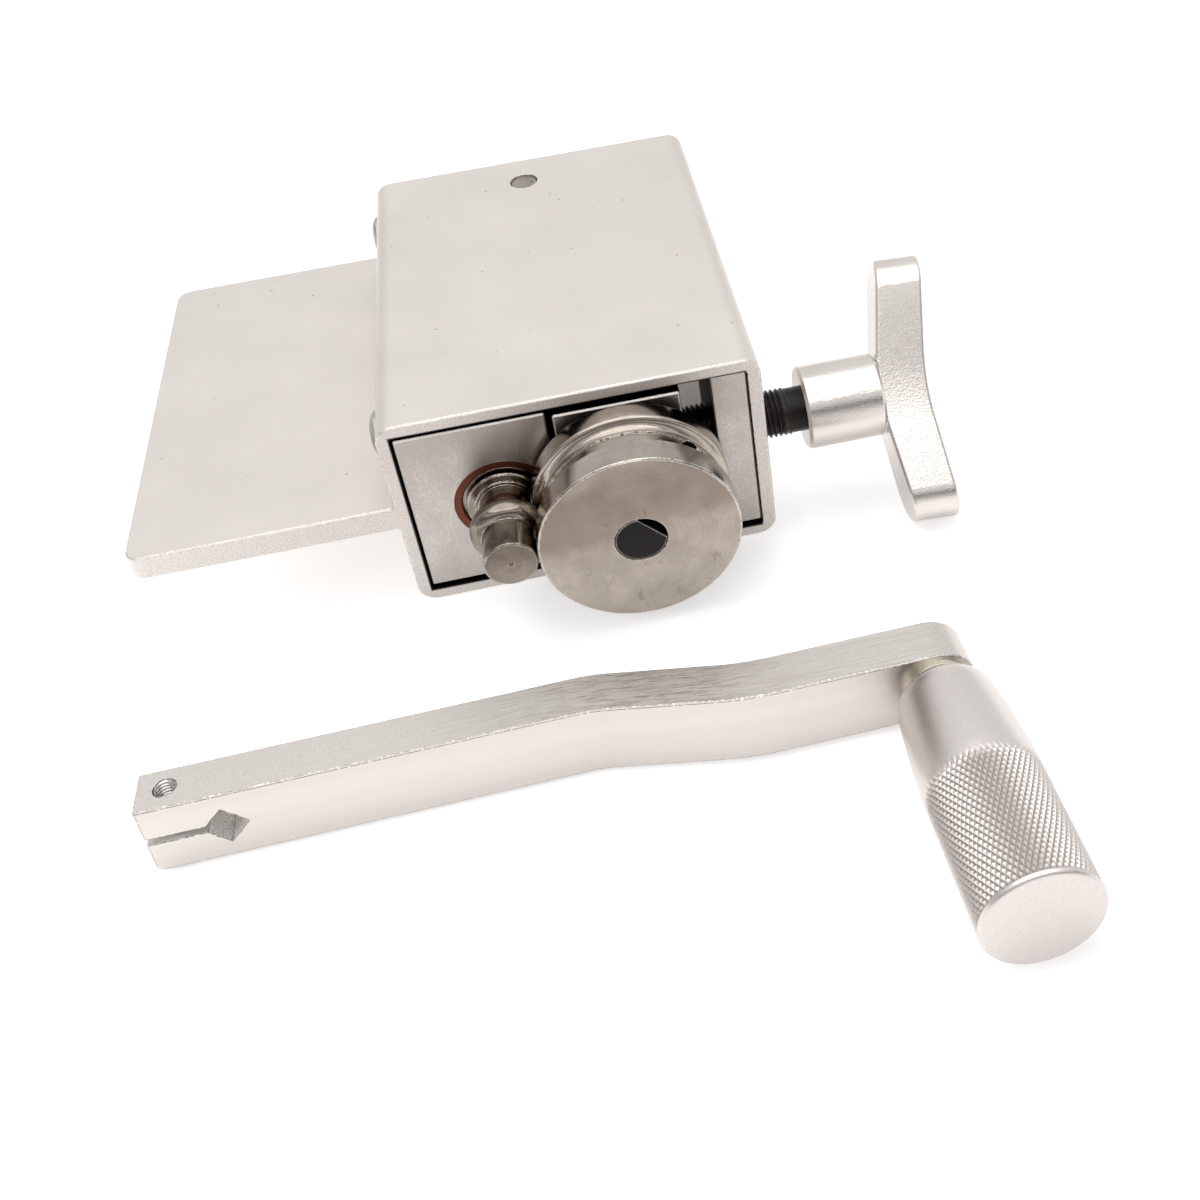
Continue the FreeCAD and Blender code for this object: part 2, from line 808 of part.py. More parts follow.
# ---- crank: modelled along its arm, then laid down -----------------------
# Arm frame: X along the arm from its split end, Y into the arm from the face
# that the grip stands on, Z up the arm's height.
arm_middle = arm_height / 2
grip_face = -arm_offset


def arm_side(offset):
    """One wide face in plan: edges from the split end to the grip end."""
    centre = arm_thickness / 2
    turn = math.atan2(arm_offset, arm_second_bend - arm_first_bend)
    ahead = Vector(math.cos(turn), -math.sin(turn), 0)
    across = Vector(math.sin(turn), math.cos(turn), 0)
    plain = Vector(0, 1, 0)
    bend_one = Vector(arm_first_bend, centre, 0)
    bend_two = Vector(arm_second_bend, centre - arm_offset, 0)
    run_one = arm_first_bend_radius * math.tan(turn / 2)
    run_two = arm_second_bend_radius * math.tan(turn / 2)
    half_turn = Vector(math.sin(turn / 2), math.cos(turn / 2), 0)
    arc_one = [bend_one - RIGHT * run_one, bend_one + ahead * run_one]
    arc_two = [bend_two - ahead * run_two, bend_two + RIGHT * run_two]
    centre_one = arc_one[0] - plain * arm_first_bend_radius
    centre_two = arc_two[1] + plain * arm_second_bend_radius
    middle_one = centre_one + half_turn * (arm_first_bend_radius + offset)
    middle_two = centre_two - half_turn * (arm_second_bend_radius - offset)
    points = [
        Vector(0, centre + offset, 0),
        arc_one[0] + plain * offset,
        arc_one[1] + across * offset,
        arc_two[0] + across * offset,
        arc_two[1] + plain * offset,
        Vector(arm_reach + arm_height, centre - arm_offset + offset, 0),
    ]
    return [
        Part.makeLine(points[0], points[1]),
        Part.Arc(points[1], middle_one, points[2]).toShape(),
        Part.makeLine(points[2], points[3]),
        Part.Arc(points[3], middle_two, points[4]).toShape(),
        Part.makeLine(points[4], points[5]),
    ], points[0], points[-1]


def square_prism(size, x, z, y0, y1):
    """Square bar along Y, standing on its corner."""
    reach = size * math.sqrt(0.5)
    corners = [(x - reach, z), (x, z + reach), (x + reach, z), (x, z - reach)]
    face = wire_face(corners, lambda a, b: Vector(a, y0, b))
    return face.extrude(Vector(0, y1 - y0, 0))


spindle_hole_depth = grip_tail_length + 2 * axial
arm_back = arm_thickness - arm_offset


def make_crank_arm():
    half = arm_thickness / 2
    back_edges, back_start, back_end = arm_side(half)
    front_edges, front_start, front_end = arm_side(-half)
    rim = front_edges + [Part.makeLine(front_end, back_end)]
    rim += back_edges + [Part.makeLine(back_start, front_start)]
    wire = Part.Wire(Part.sortEdges(rim)[0])
    shape = Part.Face(wire).extrude(UP * arm_height)
    toe = arm_toe_radius
    toe_middle = toe * (1 - math.sqrt(0.5))
    side = wire_face(
        [
            (0, arm_height),
            (arm_reach, arm_height),
            (arm_reach, 0, arm_reach + arm_middle, arm_middle),
            (toe, 0),
            (0, toe, toe_middle, toe_middle),
        ],
        lambda a, b: Vector(a, -2 * arm_height, b),
    )
    shape = shape.common(side.extrude(BACK * 4 * arm_height)).removeSplitter()
    shape = break_edges(shape, arm_edge, lambda e: not runs_along(e, BACK) and e.Length > 10)
    y0 = -arm_height
    y1 = arm_height
    shape = shape.cut(square_prism(socket_size, socket_centre, arm_middle, y0, y1))
    relief_at = Vector(socket_centre, y0, arm_middle)
    shape = shape.cut(rod(socket_size / 2 + socket_relief, relief_at, BACK, y1 - y0))
    shape = shape.cut(box(-1, socket_centre, y0, y1, arm_middle - slit_width / 2,
                          arm_middle + slit_width / 2))
    bolt_at = Vector(clamp_hole_centre, half, -1)
    shape = shape.cut(rod(clamp_hole_tap_radius, bolt_at, UP, arm_height + 2))
    shape = shape.cut(rod(clamp_hole_clear_radius, bolt_at, UP, arm_middle + 1))
    sunk = crank_screw_head_height + crank_screw_head_sunk
    shape = shape.cut(rod(crank_screw_counterbore, bolt_at, UP, sunk + 1))
    spindle_at = Vector(arm_reach, grip_face, arm_grip_height)
    shape = shape.cut(rod(grip_tail_radius + seat, spindle_at, BACK, spindle_hole_depth))
    shape = shape.cut(rod(spindle_screw_radius + axial, spindle_at, BACK, arm_thickness))
    sink = Part.makeCone(spindle_screw_radius + axial, spindle_screw_head_radius + axial,
                         spindle_screw_head_height + axial,
                         Vector(arm_reach, arm_back - spindle_screw_head_height - axial,
                                arm_grip_height), BACK)
    return shape.cut(sink)


def make_crank_screw():
    start = Vector(clamp_hole_centre, arm_thickness / 2, crank_screw_head_sunk)
    shape = rod(crank_screw_head_radius, start, UP, crank_screw_head_height)
    shape = shape.fuse(rod(crank_screw_radius, start, UP,
                           arm_middle + slit_width / 2 - crank_screw_head_sunk - axial))
    shape = shape.fuse(rod(clamp_hole_tap_radius - seat, start, UP,
                           arm_middle + slit_width / 2 + crank_screw_bite
                           - crank_screw_head_sunk))
    return shape.cut(hexagon(crank_screw_head_radius, start - UP, UP,
                             1 + crank_screw_head_height / 2))


def make_grip_spindle():
    """Shoulder pin: tail in the arm, boss on its face, head inside the grip."""
    bush_end = grip_boss_thickness + axial + grip_bush_length
    end = grip_start + grip_length - grip_bore_end_wall - 1
    shape = turned(
        [
            (-grip_tail_length, 0),
            (-grip_tail_length, grip_tail_radius),
            (0, grip_tail_radius),
            (0, grip_boss_radius),
            (grip_boss_thickness, grip_boss_radius),
            (grip_boss_thickness, grip_spindle_radius),
            (bush_end + axial, grip_spindle_radius),
            (bush_end + axial, grip_head_radius),
            (bush_end + axial + grip_head_length, grip_head_radius),
            (bush_end + axial + grip_head_length, grip_spindle_radius),
            (end, grip_spindle_radius),
            (end, 0),
        ],
        Vector(arm_reach, grip_face, arm_grip_height),
        BACK * -1,
    )
    bore_at = Vector(arm_reach, grip_face + grip_tail_length + 1, arm_grip_height)
    return shape.cut(rod(spindle_screw_radius + seat, bore_at, BACK * -1,
                         spindle_screw_grip + 1.5))


def make_spindle_screw():
    head_at = Vector(arm_reach, arm_back, arm_grip_height)
    length = arm_back - grip_face - grip_tail_length + spindle_screw_grip
    shape = Part.makeCone(spindle_screw_head_radius, spindle_screw_radius,
                          spindle_screw_head_height, head_at, BACK * -1)
    shape = shape.fuse(rod(spindle_screw_radius, head_at, BACK * -1, length))
    return shape.cut(hexagon(spindle_screw_radius * 1.2, head_at + BACK, BACK * -1, 2.5))


def make_crank_grip():
    bush_end = grip_boss_thickness + axial + grip_bush_length - grip_start
    bore_end = grip_length - grip_bore_end_wall
    bush_bore = grip_bush_radius + seat
    shoulder_middle = grip_shoulder * (1 - math.sqrt(0.5)) * 0.9
    rise = grip_shoulder_radius - grip_mouth_radius
    return turned(
        [
            (0, bush_bore),
            (0, grip_mouth_radius),
            (grip_shoulder, grip_shoulder_radius, shoulder_middle,
             grip_mouth_radius + rise * 0.72),
            (grip_taper_end, grip_radius, grip_taper_end * 0.45, grip_radius - grip_taper_rise),
            (grip_length - grip_end_rise, grip_radius),
            (grip_length, grip_end_radius),
            (grip_length, 0),
            (bore_end, 0),
            (bore_end, grip_head_radius + running),
            (bush_end, grip_head_radius + running),
            (bush_end, bush_bore),
        ],
        Vector(arm_reach, grip_face - grip_start, arm_grip_height),
        BACK * -1,
    )


# It rests on the arm's rear lower edge and on the grip's belly.
crank_lift = arm_thickness * math.sin(math.radians(crank_roll))
turned_left = FreeCAD.Rotation(UP, crank_yaw)
rolled_back = FreeCAD.Rotation(RIGHT, -crank_roll)
lay_down = FreeCAD.Placement(Vector(crank_left, crank_front, crank_lift),
                             turned_left.multiply(rolled_back))


def laid_down(shape):
    shape.Placement = lay_down.multiply(shape.Placement)
    return shape


nodes["crank_arm"] = laid_down(make_crank_arm())
nodes["crank_clamp_screw"] = laid_down(make_crank_screw())
nodes["grip_spindle"] = laid_down(make_grip_spindle())
nodes["spindle_screw"] = laid_down(make_spindle_screw())
nodes["crank_grip"] = laid_down(make_crank_grip())
nodes["grip_bush"] = laid_down(tube(
    grip_bush_radius, grip_spindle_radius + running,
    Vector(arm_reach, grip_face - grip_boss_thickness - axial, arm_grip_height),
    BACK * -1, grip_bush_length))

# ---- one STEP file per piece ---------------------------------------------
for name, shape in nodes.items():
    shape.exportStep(os.path.join("parts", name + ".step"))

travel = clamp_pitch * clamp_turns
grip_centre = lay_down.multVec(Vector(arm_reach, grip_face, arm_grip_height))
socket = lay_down.multVec(Vector(socket_centre, arm_thickness / 2, arm_middle))
print("idler axis x", round(idler_x, 3), "drive axis x", round(drive_x, 3), "height", axis_height)
print("pivot y", round(pivot_y, 3), "clamp y", round(clamp_y, 3), "travel", travel)
print("swing", round(math.degrees(travel / (pivot_y - clamp_y)), 4), "degrees")
print("grip axis", grip_centre, "socket", socket)
print("lowest", {n: round(v.BoundBox.ZMin, 3) for n, v in nodes.items() if v.BoundBox.ZMin < 1})
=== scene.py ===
import json
import math

import bmesh
import bpy
from mathutils import Matrix, Vector


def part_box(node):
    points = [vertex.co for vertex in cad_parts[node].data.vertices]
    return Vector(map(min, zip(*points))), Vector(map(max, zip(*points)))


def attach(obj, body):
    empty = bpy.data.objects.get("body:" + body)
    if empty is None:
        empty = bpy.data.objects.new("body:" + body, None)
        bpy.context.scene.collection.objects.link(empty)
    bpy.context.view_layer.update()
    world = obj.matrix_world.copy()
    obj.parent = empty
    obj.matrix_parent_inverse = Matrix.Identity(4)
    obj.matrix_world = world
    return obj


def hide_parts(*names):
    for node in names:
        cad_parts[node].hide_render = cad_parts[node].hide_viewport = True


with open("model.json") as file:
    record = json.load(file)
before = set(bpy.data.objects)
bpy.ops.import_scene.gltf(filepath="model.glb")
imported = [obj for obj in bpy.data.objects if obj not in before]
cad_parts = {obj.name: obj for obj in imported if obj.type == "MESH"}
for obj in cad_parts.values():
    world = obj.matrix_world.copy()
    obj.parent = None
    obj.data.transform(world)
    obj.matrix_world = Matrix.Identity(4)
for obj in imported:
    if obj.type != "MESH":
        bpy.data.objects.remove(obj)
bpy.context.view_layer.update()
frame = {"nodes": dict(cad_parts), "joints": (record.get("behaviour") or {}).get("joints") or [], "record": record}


# ---- Housing ---------------------------------------------------------------
# A rectangular aluminium tube with a wide flange on its left side, made to be held in a vise. It is one extruded
# piece, sawn to length and bead blasted to a matt, warm silver skin. Its edges are painted bright with dark nicks,
# partly wear and partly painted highlight. Inside, the walls for 30 mm from the front and a thin strip of the
# front face round the opening are painted dark as shade.

def srgb(red, green, blue):
    """Linear colour of three 0-255 screen values."""
    parts = []
    for value in (red, green, blue):
        value = value / 255
        parts.append(value / 12.92 if value <= 0.04045 else ((value + 0.055) / 1.055) ** 2.4)
    return (*parts, 1.0)


def node_group(name, inputs, outputs):
    """An empty shader group: its tree, input node and output node."""
    tree = bpy.data.node_groups.new(name, "ShaderNodeTree")
    for label, kind, value in inputs:
        socket = tree.interface.new_socket(label, in_out="INPUT", socket_type=kind)
        if value is not None:
            socket.default_value = value
    for label, kind in outputs:
        tree.interface.new_socket(label, in_out="OUTPUT", socket_type=kind)
    return tree, tree.nodes.new("NodeGroupInput"), tree.nodes.new("NodeGroupOutput")


def add(tree, kind, values=None, links=None, **settings):
    """One shader node with its settings, socket values and incoming links."""
    node = tree.nodes.new(kind)
    for key, value in settings.items():
        setattr(node, key, value)
    for key, value in (values or {}).items():
        node.inputs[key].default_value = value
    for key, source in (links or {}).items():
        tree.links.new(source, node.inputs[key])
    return node


def make_blast_grain():
    """Blasted skin: Height is the fine dimpling, Cloud the slow change in tone, Speck rare dots."""
    tree, given, out = node_group(
        "blast_grain",
        [("Vector", "NodeSocketVector", None), ("Grains per metre", "NodeSocketFloat", 2600.0)],
        [("Height", "NodeSocketFloat"), ("Cloud", "NodeSocketFloat"),
         ("Speck", "NodeSocketFloat")],
    )
    at = given.outputs["Vector"]
    fine = add(tree, "ShaderNodeTexNoise", {"Detail": 2.0, "Roughness": 0.65},
               {"Vector": at, "Scale": given.outputs["Grains per metre"]})
    cloud = add(tree, "ShaderNodeTexNoise", {"Scale": 38.0, "Detail": 3.0}, {"Vector": at})
    dots = add(tree, "ShaderNodeTexNoise", {"Scale": 760.0, "Detail": 0.0}, {"Vector": at})
    speck = add(tree, "ShaderNodeMapRange",
                {"From Min": 0.872, "From Max": 0.9}, {"Value": dots.outputs["Fac"]})
    tree.links.new(fine.outputs["Fac"], out.inputs["Height"])
    tree.links.new(cloud.outputs["Fac"], out.inputs["Cloud"])
    tree.links.new(speck.outputs["Result"], out.inputs["Speck"])
    return tree


def make_edge_band():
    """Mask of the edges: 1 where the surface turns within Radius, broken up by nicks."""
    tree, given, out = node_group(
        "edge_band",
        [("Vector", "NodeSocketVector", None), ("Radius", "NodeSocketFloat", 0.0004),
         ("Gain", "NodeSocketFloat", 6.0), ("Nicks", "NodeSocketFloat", 0.5)],
        [("Mask", "NodeSocketFloat")],
    )
    round_off = add(tree, "ShaderNodeBevel", links={"Radius": given.outputs["Radius"]}, samples=6)
    surface = add(tree, "ShaderNodeNewGeometry")
    agree = add(tree, "ShaderNodeVectorMath", operation="DOT_PRODUCT",
                links={0: round_off.outputs["Normal"], 1: surface.outputs["Normal"]})
    turn = add(tree, "ShaderNodeMath", {0: 1.0}, {1: agree.outputs["Value"]},
               operation="SUBTRACT")
    strong = add(tree, "ShaderNodeMath", links={0: turn.outputs[0], 1: given.outputs["Gain"]},
                 operation="MULTIPLY", use_clamp=True)
    chips = add(tree, "ShaderNodeTexNoise", {"Scale": 900.0, "Detail": 3.0},
                {"Vector": given.outputs["Vector"]})
    bite = add(tree, "ShaderNodeMapRange", {"From Min": 0.38, "From Max": 0.58},
               {"Value": chips.outputs["Fac"]})
    kept = add(tree, "ShaderNodeMix", {"A": 1.0},
               {"Factor": given.outputs["Nicks"], "B": bite.outputs["Result"]},
               data_type="FLOAT")
    mask = add(tree, "ShaderNodeMath", links={0: strong.outputs[0], 1: kept.outputs["Result"]},
               operation="MULTIPLY", use_clamp=True)
    tree.links.new(mask.outputs[0], out.inputs["Mask"])
    return tree


blast_grain = make_blast_grain()
edge_band = make_edge_band()


def start_material(name, roughness, metallic=1.0):
    """A new material: its tree, its shader and its Object coordinates."""
    material = bpy.data.materials.new(name)
    material.use_nodes = True
    tree = material.node_tree
    shader = tree.nodes["Principled BSDF"]
    shader.inputs["Metallic"].default_value = metallic
    shader.inputs["Roughness"].default_value = roughness
    where = add(tree, "ShaderNodeTexCoord")
    return material, tree, shader, where.outputs["Object"]


def group_node(tree, group, links=None, values=None):
    """A shader group placed in a tree."""
    return add(tree, "ShaderNodeGroup", values, links, node_tree=group)


def mix_colour(tree, factor, low, high):
    """Colour between two colours or sockets by a mask."""
    node = add(tree, "ShaderNodeMix", data_type="RGBA", links={"Factor": factor})
    for key, side in ((6, low), (7, high)):
        if isinstance(side, tuple):
            node.inputs[key].default_value = side
        else:
            tree.links.new(side, node.inputs[key])
    return node.outputs[2]


def spread(tree, source, low, high, start=0.3, end=0.7):
    """A mask stretched to run from low to high."""
    node = add(tree, "ShaderNodeMapRange",
               {"From Min": start, "From Max": end, "To Min": low, "To Max": high},
               {"Value": source})
    return node.outputs["Result"]


def bump(tree, shader, height, distance, edge=0.0003):
    """Bump of a distance, over edges that shade as if they were rounded off."""
    soft = add(tree, "ShaderNodeBevel", {"Radius": edge}, samples=4)
    node = add(tree, "ShaderNodeBump", {"Distance": distance},
               {"Height": height, "Normal": soft.outputs["Normal"]})
    tree.links.new(node.outputs["Normal"], shader.inputs["Normal"])


def distance_from(tree, source, value):
    """How far a socket is from a value, either way."""
    apart = add(tree, "ShaderNodeMath", {1: value}, {0: source}, operation="SUBTRACT")
    size = add(tree, "ShaderNodeMath", links={0: apart.outputs[0]}, operation="ABSOLUTE")
    return size.outputs[0]


def within(tree, source, low, high, soft):
    """1 where low < source < high, with soft shoulders."""
    half = (high - low) / 2
    return spread(tree, distance_from(tree, source, (low + high) / 2), 1.0, 0.0,
                  half - soft, half + soft)


def times(tree, first, second):
    """Product of two masks."""
    node = add(tree, "ShaderNodeMath", links={0: first, 1: second}, operation="MULTIPLY")
    return node.outputs[0]


def faces_along(tree, axis):
    """How squarely the surface faces along an axis, 0 to 1, either way round."""
    surface = add(tree, "ShaderNodeTexCoord")
    along = add(tree, "ShaderNodeVectorMath", {1: tuple(axis)}, {0: surface.outputs["Normal"]},
                operation="DOT_PRODUCT")
    size = add(tree, "ShaderNodeMath", links={0: along.outputs["Value"]}, operation="ABSOLUTE")
    return size.outputs[0]


def dashed_edge(tree, at, bright, dark, low=0.5, shift=None):
    """Colour of an edge painted bright, partly burred and partly painted highlight, with short dark dashes where
    noise passes low.
    """
    dashes = add(tree, "ShaderNodeTexNoise", {"Scale": 1500.0, "Detail": 2.0}, {"Vector": at})
    level = dashes.outputs["Fac"]
    if shift:
        moved = add(tree, "ShaderNodeMath", links={0: level, 1: shift}, operation="SUBTRACT")
        level = moved.outputs[0]
    return mix_colour(tree, spread(tree, level, 0, 1, low, low + 0.05), bright, dark)


def dress(material, *names):
    """Gives CAD nodes their finish."""
    for name in names:
        node = frame["nodes"][name]
        node.data.materials.clear()
        node.data.materials.append(material)


def blasted_aluminium(name, dull, light, bright_edge, grains, depth, roughness, nicks,
                      speck=None, inside=None, sawn=None):
    """Blasted skin, its edges painted bright_edge, partly wear and partly painted highlight. speck is the dots'
    colour, inside a box of (low, high) per axis painted dark as shade, sawn the colour of the coarse grain on its
    front and rear ends."""
    material, tree, shader, at = start_material(name, roughness)
    skin = group_node(tree, blast_grain, {"Vector": at}, {"Grains per metre": grains})
    edge_zone = group_node(tree, edge_band, {"Vector": at}, {"Radius": 0.0005, "Nicks": nicks})
    tone = mix_colour(tree, spread(tree, skin.outputs["Cloud"], 0, 1), dull, light)
    if speck:
        tone = mix_colour(tree, skin.outputs["Speck"], tone, speck)
    if sawn:
        end_on = spread(tree, faces_along(tree, (0, 1, 0)), 0, 1, 0.8, 0.95)
        grit = times(tree, end_on, spread(tree, skin.outputs["Height"], 0, 0.7, 0.45, 0.65))
        tone = mix_colour(tree, grit, tone, sawn)
        bright_edge = dashed_edge(tree, at, bright_edge, srgb(132, 124, 118), low=0.54)
    # painted highlight: the edges take bright_edge, partly real wear
    colour = mix_colour(tree, edge_zone.outputs["Mask"], tone, bright_edge)
    if inside:
        parts = add(tree, "ShaderNodeSeparateXYZ", links={0: at})
        shade_zone = None
        for axis, (low, high) in zip("XYZ", inside):
            zone = within(tree, parts.outputs[axis], low, high, dark_soft)
            shade_zone = times(tree, shade_zone, zone) if shade_zone else zone
        # painted shade: the box inside the tube is coloured near black
        colour = mix_colour(tree, shade_zone, colour, srgb(44, 41, 39))
    tree.links.new(colour, shader.inputs["Base Color"])
    polish = add(tree, "ShaderNodeMix", {"A": roughness, "B": 0.22},
                 {"Factor": edge_zone.outputs["Mask"]}, data_type="FLOAT")
    tree.links.new(polish.outputs["Result"], shader.inputs["Roughness"])
    bump(tree, shader, skin.outputs["Height"], depth)
    return material


tube_wall = 0.00325
past_wall = 0.00032
short_of_wall = 0.0002
dark_depth = 0.03
dark_soft = 0.00015
tube_low, tube_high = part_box("housing")
tube_half = tube_high[0] - tube_wall
# painted shade: a box inside the tube, dark_depth back from the front, that also takes in a thin strip of the
# front face round the opening
tube_shade_box = ((-tube_half - past_wall, tube_half - short_of_wall),
               (tube_low[1] - 0.001, tube_low[1] + dark_depth),
               (tube_low[2] + tube_wall - past_wall, tube_high[2] - tube_wall + past_wall))
dress(blasted_aluminium("housing_blasted", srgb(223, 217, 212), srgb(229, 223, 218),
                        srgb(255, 253, 251), grains=2600.0, depth=0.00003, roughness=0.5,
                        nicks=0.3, speck=srgb(178, 168, 158), inside=tube_shade_box,
                        sawn=srgb(192, 184, 178)), "housing")


# ---- Blocks ----------------------------------------------------------------
# Three aluminium blocks inside the tube: the fixed one with the bead die, the swinging one with the grooved die,
# and the narrow one that the clamp screw runs in. They are sawn from bar and brushed upright. Their edges are
# painted bright, partly wear and partly painted highlight, and between their front and rear faces they are painted
# dark as shade.

def make_drawn_lines():
    """Streaks: noise stretched by Stretch, fine and slow."""
    tree, given, out = node_group(
        "drawn_lines",
        [("Vector", "NodeSocketVector", None),
         ("Stretch", "NodeSocketVector", (3000.0, 3000.0, 60.0))],
        [("Lines", "NodeSocketFloat"), ("Bands", "NodeSocketFloat")],
    )
    pulled = add(tree, "ShaderNodeVectorMath", operation="MULTIPLY",
                 links={0: given.outputs["Vector"], 1: given.outputs["Stretch"]})
    fine = add(tree, "ShaderNodeTexNoise", {"Scale": 1.0, "Detail": 3.0, "Roughness": 0.7},
               {"Vector": pulled.outputs[0]})
    slow = add(tree, "ShaderNodeTexNoise", {"Scale": 0.06, "Detail": 2.0},
               {"Vector": pulled.outputs[0]})
    tree.links.new(fine.outputs["Fac"], out.inputs["Lines"])
    tree.links.new(slow.outputs["Fac"], out.inputs["Bands"])
    return tree


drawn_lines = make_drawn_lines()


def scaled(colour, by):
    """A colour times a factor."""
    return tuple(value * by for value in colour[:3]) + (1.0,)


def brushed_metal(name, dark, light, bright_edge, stretch, roughness, depth, hidden=None):
    """Brushed skin, its edges painted bright_edge, partly wear and partly painted highlight. hidden is the (low,
    high) stretch along Y that no light reaches, painted dark as shade.
    """
    material, tree, shader, at = start_material(name, roughness)
    brush = group_node(tree, drawn_lines, {"Vector": at}, {"Stretch": stretch})
    edge_zone = group_node(tree, edge_band, {"Vector": at},
                     {"Radius": 0.00035, "Gain": 9.0, "Nicks": 0.4})
    tone = mix_colour(tree, spread(tree, brush.outputs["Bands"], 0, 1), dark, light)
    lined = mix_colour(tree, spread(tree, brush.outputs["Lines"], 0, 0.6, 0.35, 0.65), tone,
                       scaled(dark, 0.84))
    # painted highlight: the edges take bright_edge, partly real wear
    colour = mix_colour(tree, edge_zone.outputs["Mask"], lined, bright_edge)
    if hidden:
        parts = add(tree, "ShaderNodeSeparateXYZ", links={0: at})
        shade_zone = within(tree, parts.outputs["Y"], *hidden, hidden_soft)
        # painted shade: near black over the stretch that no light reaches
        colour = mix_colour(tree, shade_zone, colour, srgb(40, 37, 35))
    tree.links.new(colour, shader.inputs["Base Color"])
    rough = spread(tree, brush.outputs["Lines"], roughness - 0.07, roughness + 0.09)
    tree.links.new(rough, shader.inputs["Roughness"])
    bump(tree, shader, brush.outputs["Lines"], depth)
    return material


edge_depth = 0.0006
hidden_soft = 0.00012
blocks_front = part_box("fixed_block")[0][1] + edge_depth
blocks_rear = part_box("swing_block")[1][1] - edge_depth
dress(brushed_metal("blocks_brushed", srgb(191, 184, 178), srgb(207, 201, 196),
                    srgb(255, 253, 251), stretch=(2600.0, 2600.0, 1500.0), roughness=0.33,
                    depth=0.00002, hidden=(blocks_front, blocks_rear)),
      "fixed_block", "swing_block", "nut_block")


# ---- Bushes and washers ----------------------------------------------------
# Sintered bronze bushes pressed into the blocks, and two bronze washers. Only the rim of the bead die's bush
# shows, as a copper-brown ring, its edges painted darker as shade where they meet the gaps.

def sintered_bronze():
    """Copper-brown grainy bronze, with painted shade darkening its edges."""
    material, tree, shader, at = start_material("bushes_bronze", roughness=0.42)
    skin = group_node(tree, blast_grain, {"Vector": at}, {"Grains per metre": 5200.0})
    edge_zone = group_node(tree, edge_band, {"Vector": at}, {"Radius": 0.0003})
    tone = mix_colour(tree, spread(tree, skin.outputs["Height"], 0, 1),
                      srgb(92, 50, 38), srgb(126, 74, 58))
    # painted shade: the edges, where the gaps are, turn dark brown
    edge_toned = mix_colour(tree, edge_zone.outputs["Mask"], tone, srgb(62, 36, 29))
    tree.links.new(edge_toned, shader.inputs["Base Color"])
    bump(tree, shader, skin.outputs["Height"], 0.00001)
    return material


dress(sintered_bronze(), "idler_front_bush", "idler_rear_bush", "idler_thrust_washer",
      "pivot_washer", "drive_front_bush", "drive_rear_bush", "grip_bush")


# ---- Dies ------------------------------------------------------------------
# Two hard steel dies turned on a lathe: the large one with a groove, and the small one with the bead, which is one
# piece with its shaft. The tool leaves fine rings, and use has left light scratches on the large face. Their edges
# are painted bright with short dark dashes, partly burred and partly painted highlight.

def make_lathe_rings():
    """Turning marks about the Y axis through Centre: Rings, and Scratches across them."""
    tree, given, out = node_group(
        "lathe_rings",
        [("Vector", "NodeSocketVector", None), ("Centre", "NodeSocketVector", (0, 0, 0)),
         ("Rings per metre", "NodeSocketFloat", 3000.0)],
        [("Rings", "NodeSocketFloat"), ("Scratches", "NodeSocketFloat"),
         ("Cloud", "NodeSocketFloat")],
    )
    about = add(tree, "ShaderNodeVectorMath", operation="SUBTRACT",
                links={0: given.outputs["Vector"], 1: given.outputs["Centre"]})
    flat = add(tree, "ShaderNodeVectorMath", {1: (1, 0, 1)}, {0: about.outputs[0]},
               operation="MULTIPLY")
    radius = add(tree, "ShaderNodeVectorMath", links={0: flat.outputs[0]}, operation="LENGTH")
    parts = add(tree, "ShaderNodeSeparateXYZ", links={0: about.outputs[0]})
    ring_at = add(tree, "ShaderNodeCombineXYZ",
                  links={"X": radius.outputs["Value"], "Y": parts.outputs["Y"]})
    rings = add(tree, "ShaderNodeTexNoise", {"Detail": 2.0, "Roughness": 0.6},
                {"Vector": ring_at.outputs[0], "Scale": given.outputs["Rings per metre"]})
    patches = add(tree, "ShaderNodeTexNoise", {"Scale": 210.0, "Detail": 1.0},
                  {"Vector": about.outputs[0]})
    pulled = add(tree, "ShaderNodeMapping",
                 {"Rotation": (0.2, 0.7, 0.5), "Scale": (330, 60, 60)},
                 {"Vector": about.outputs[0]})
    score = add(tree, "ShaderNodeTexNoise", {"Scale": 1.0, "Detail": 1.0},
                {"Vector": pulled.outputs[0]})
    thin = spread(tree, distance_from(tree, score.outputs["Fac"], 0.5), 1, 0, 0.002, 0.014)
    some = spread(tree, patches.outputs["Fac"], 0, 1, 0.55, 0.64)
    cloud = add(tree, "ShaderNodeTexNoise", {"Scale": 130.0, "Detail": 8.0, "Roughness": 0.62},
                {"Vector": about.outputs[0]})
    tree.links.new(rings.outputs["Fac"], out.inputs["Rings"])
    tree.links.new(times(tree, thin, some), out.inputs["Scratches"])
    tree.links.new(cloud.outputs["Fac"], out.inputs["Cloud"])
    return tree


lathe_rings = make_lathe_rings()


def node_centre(name):
    """Middle of a node's box."""
    low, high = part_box(name)
    return tuple((a + b) / 2 for a, b in zip(low, high))


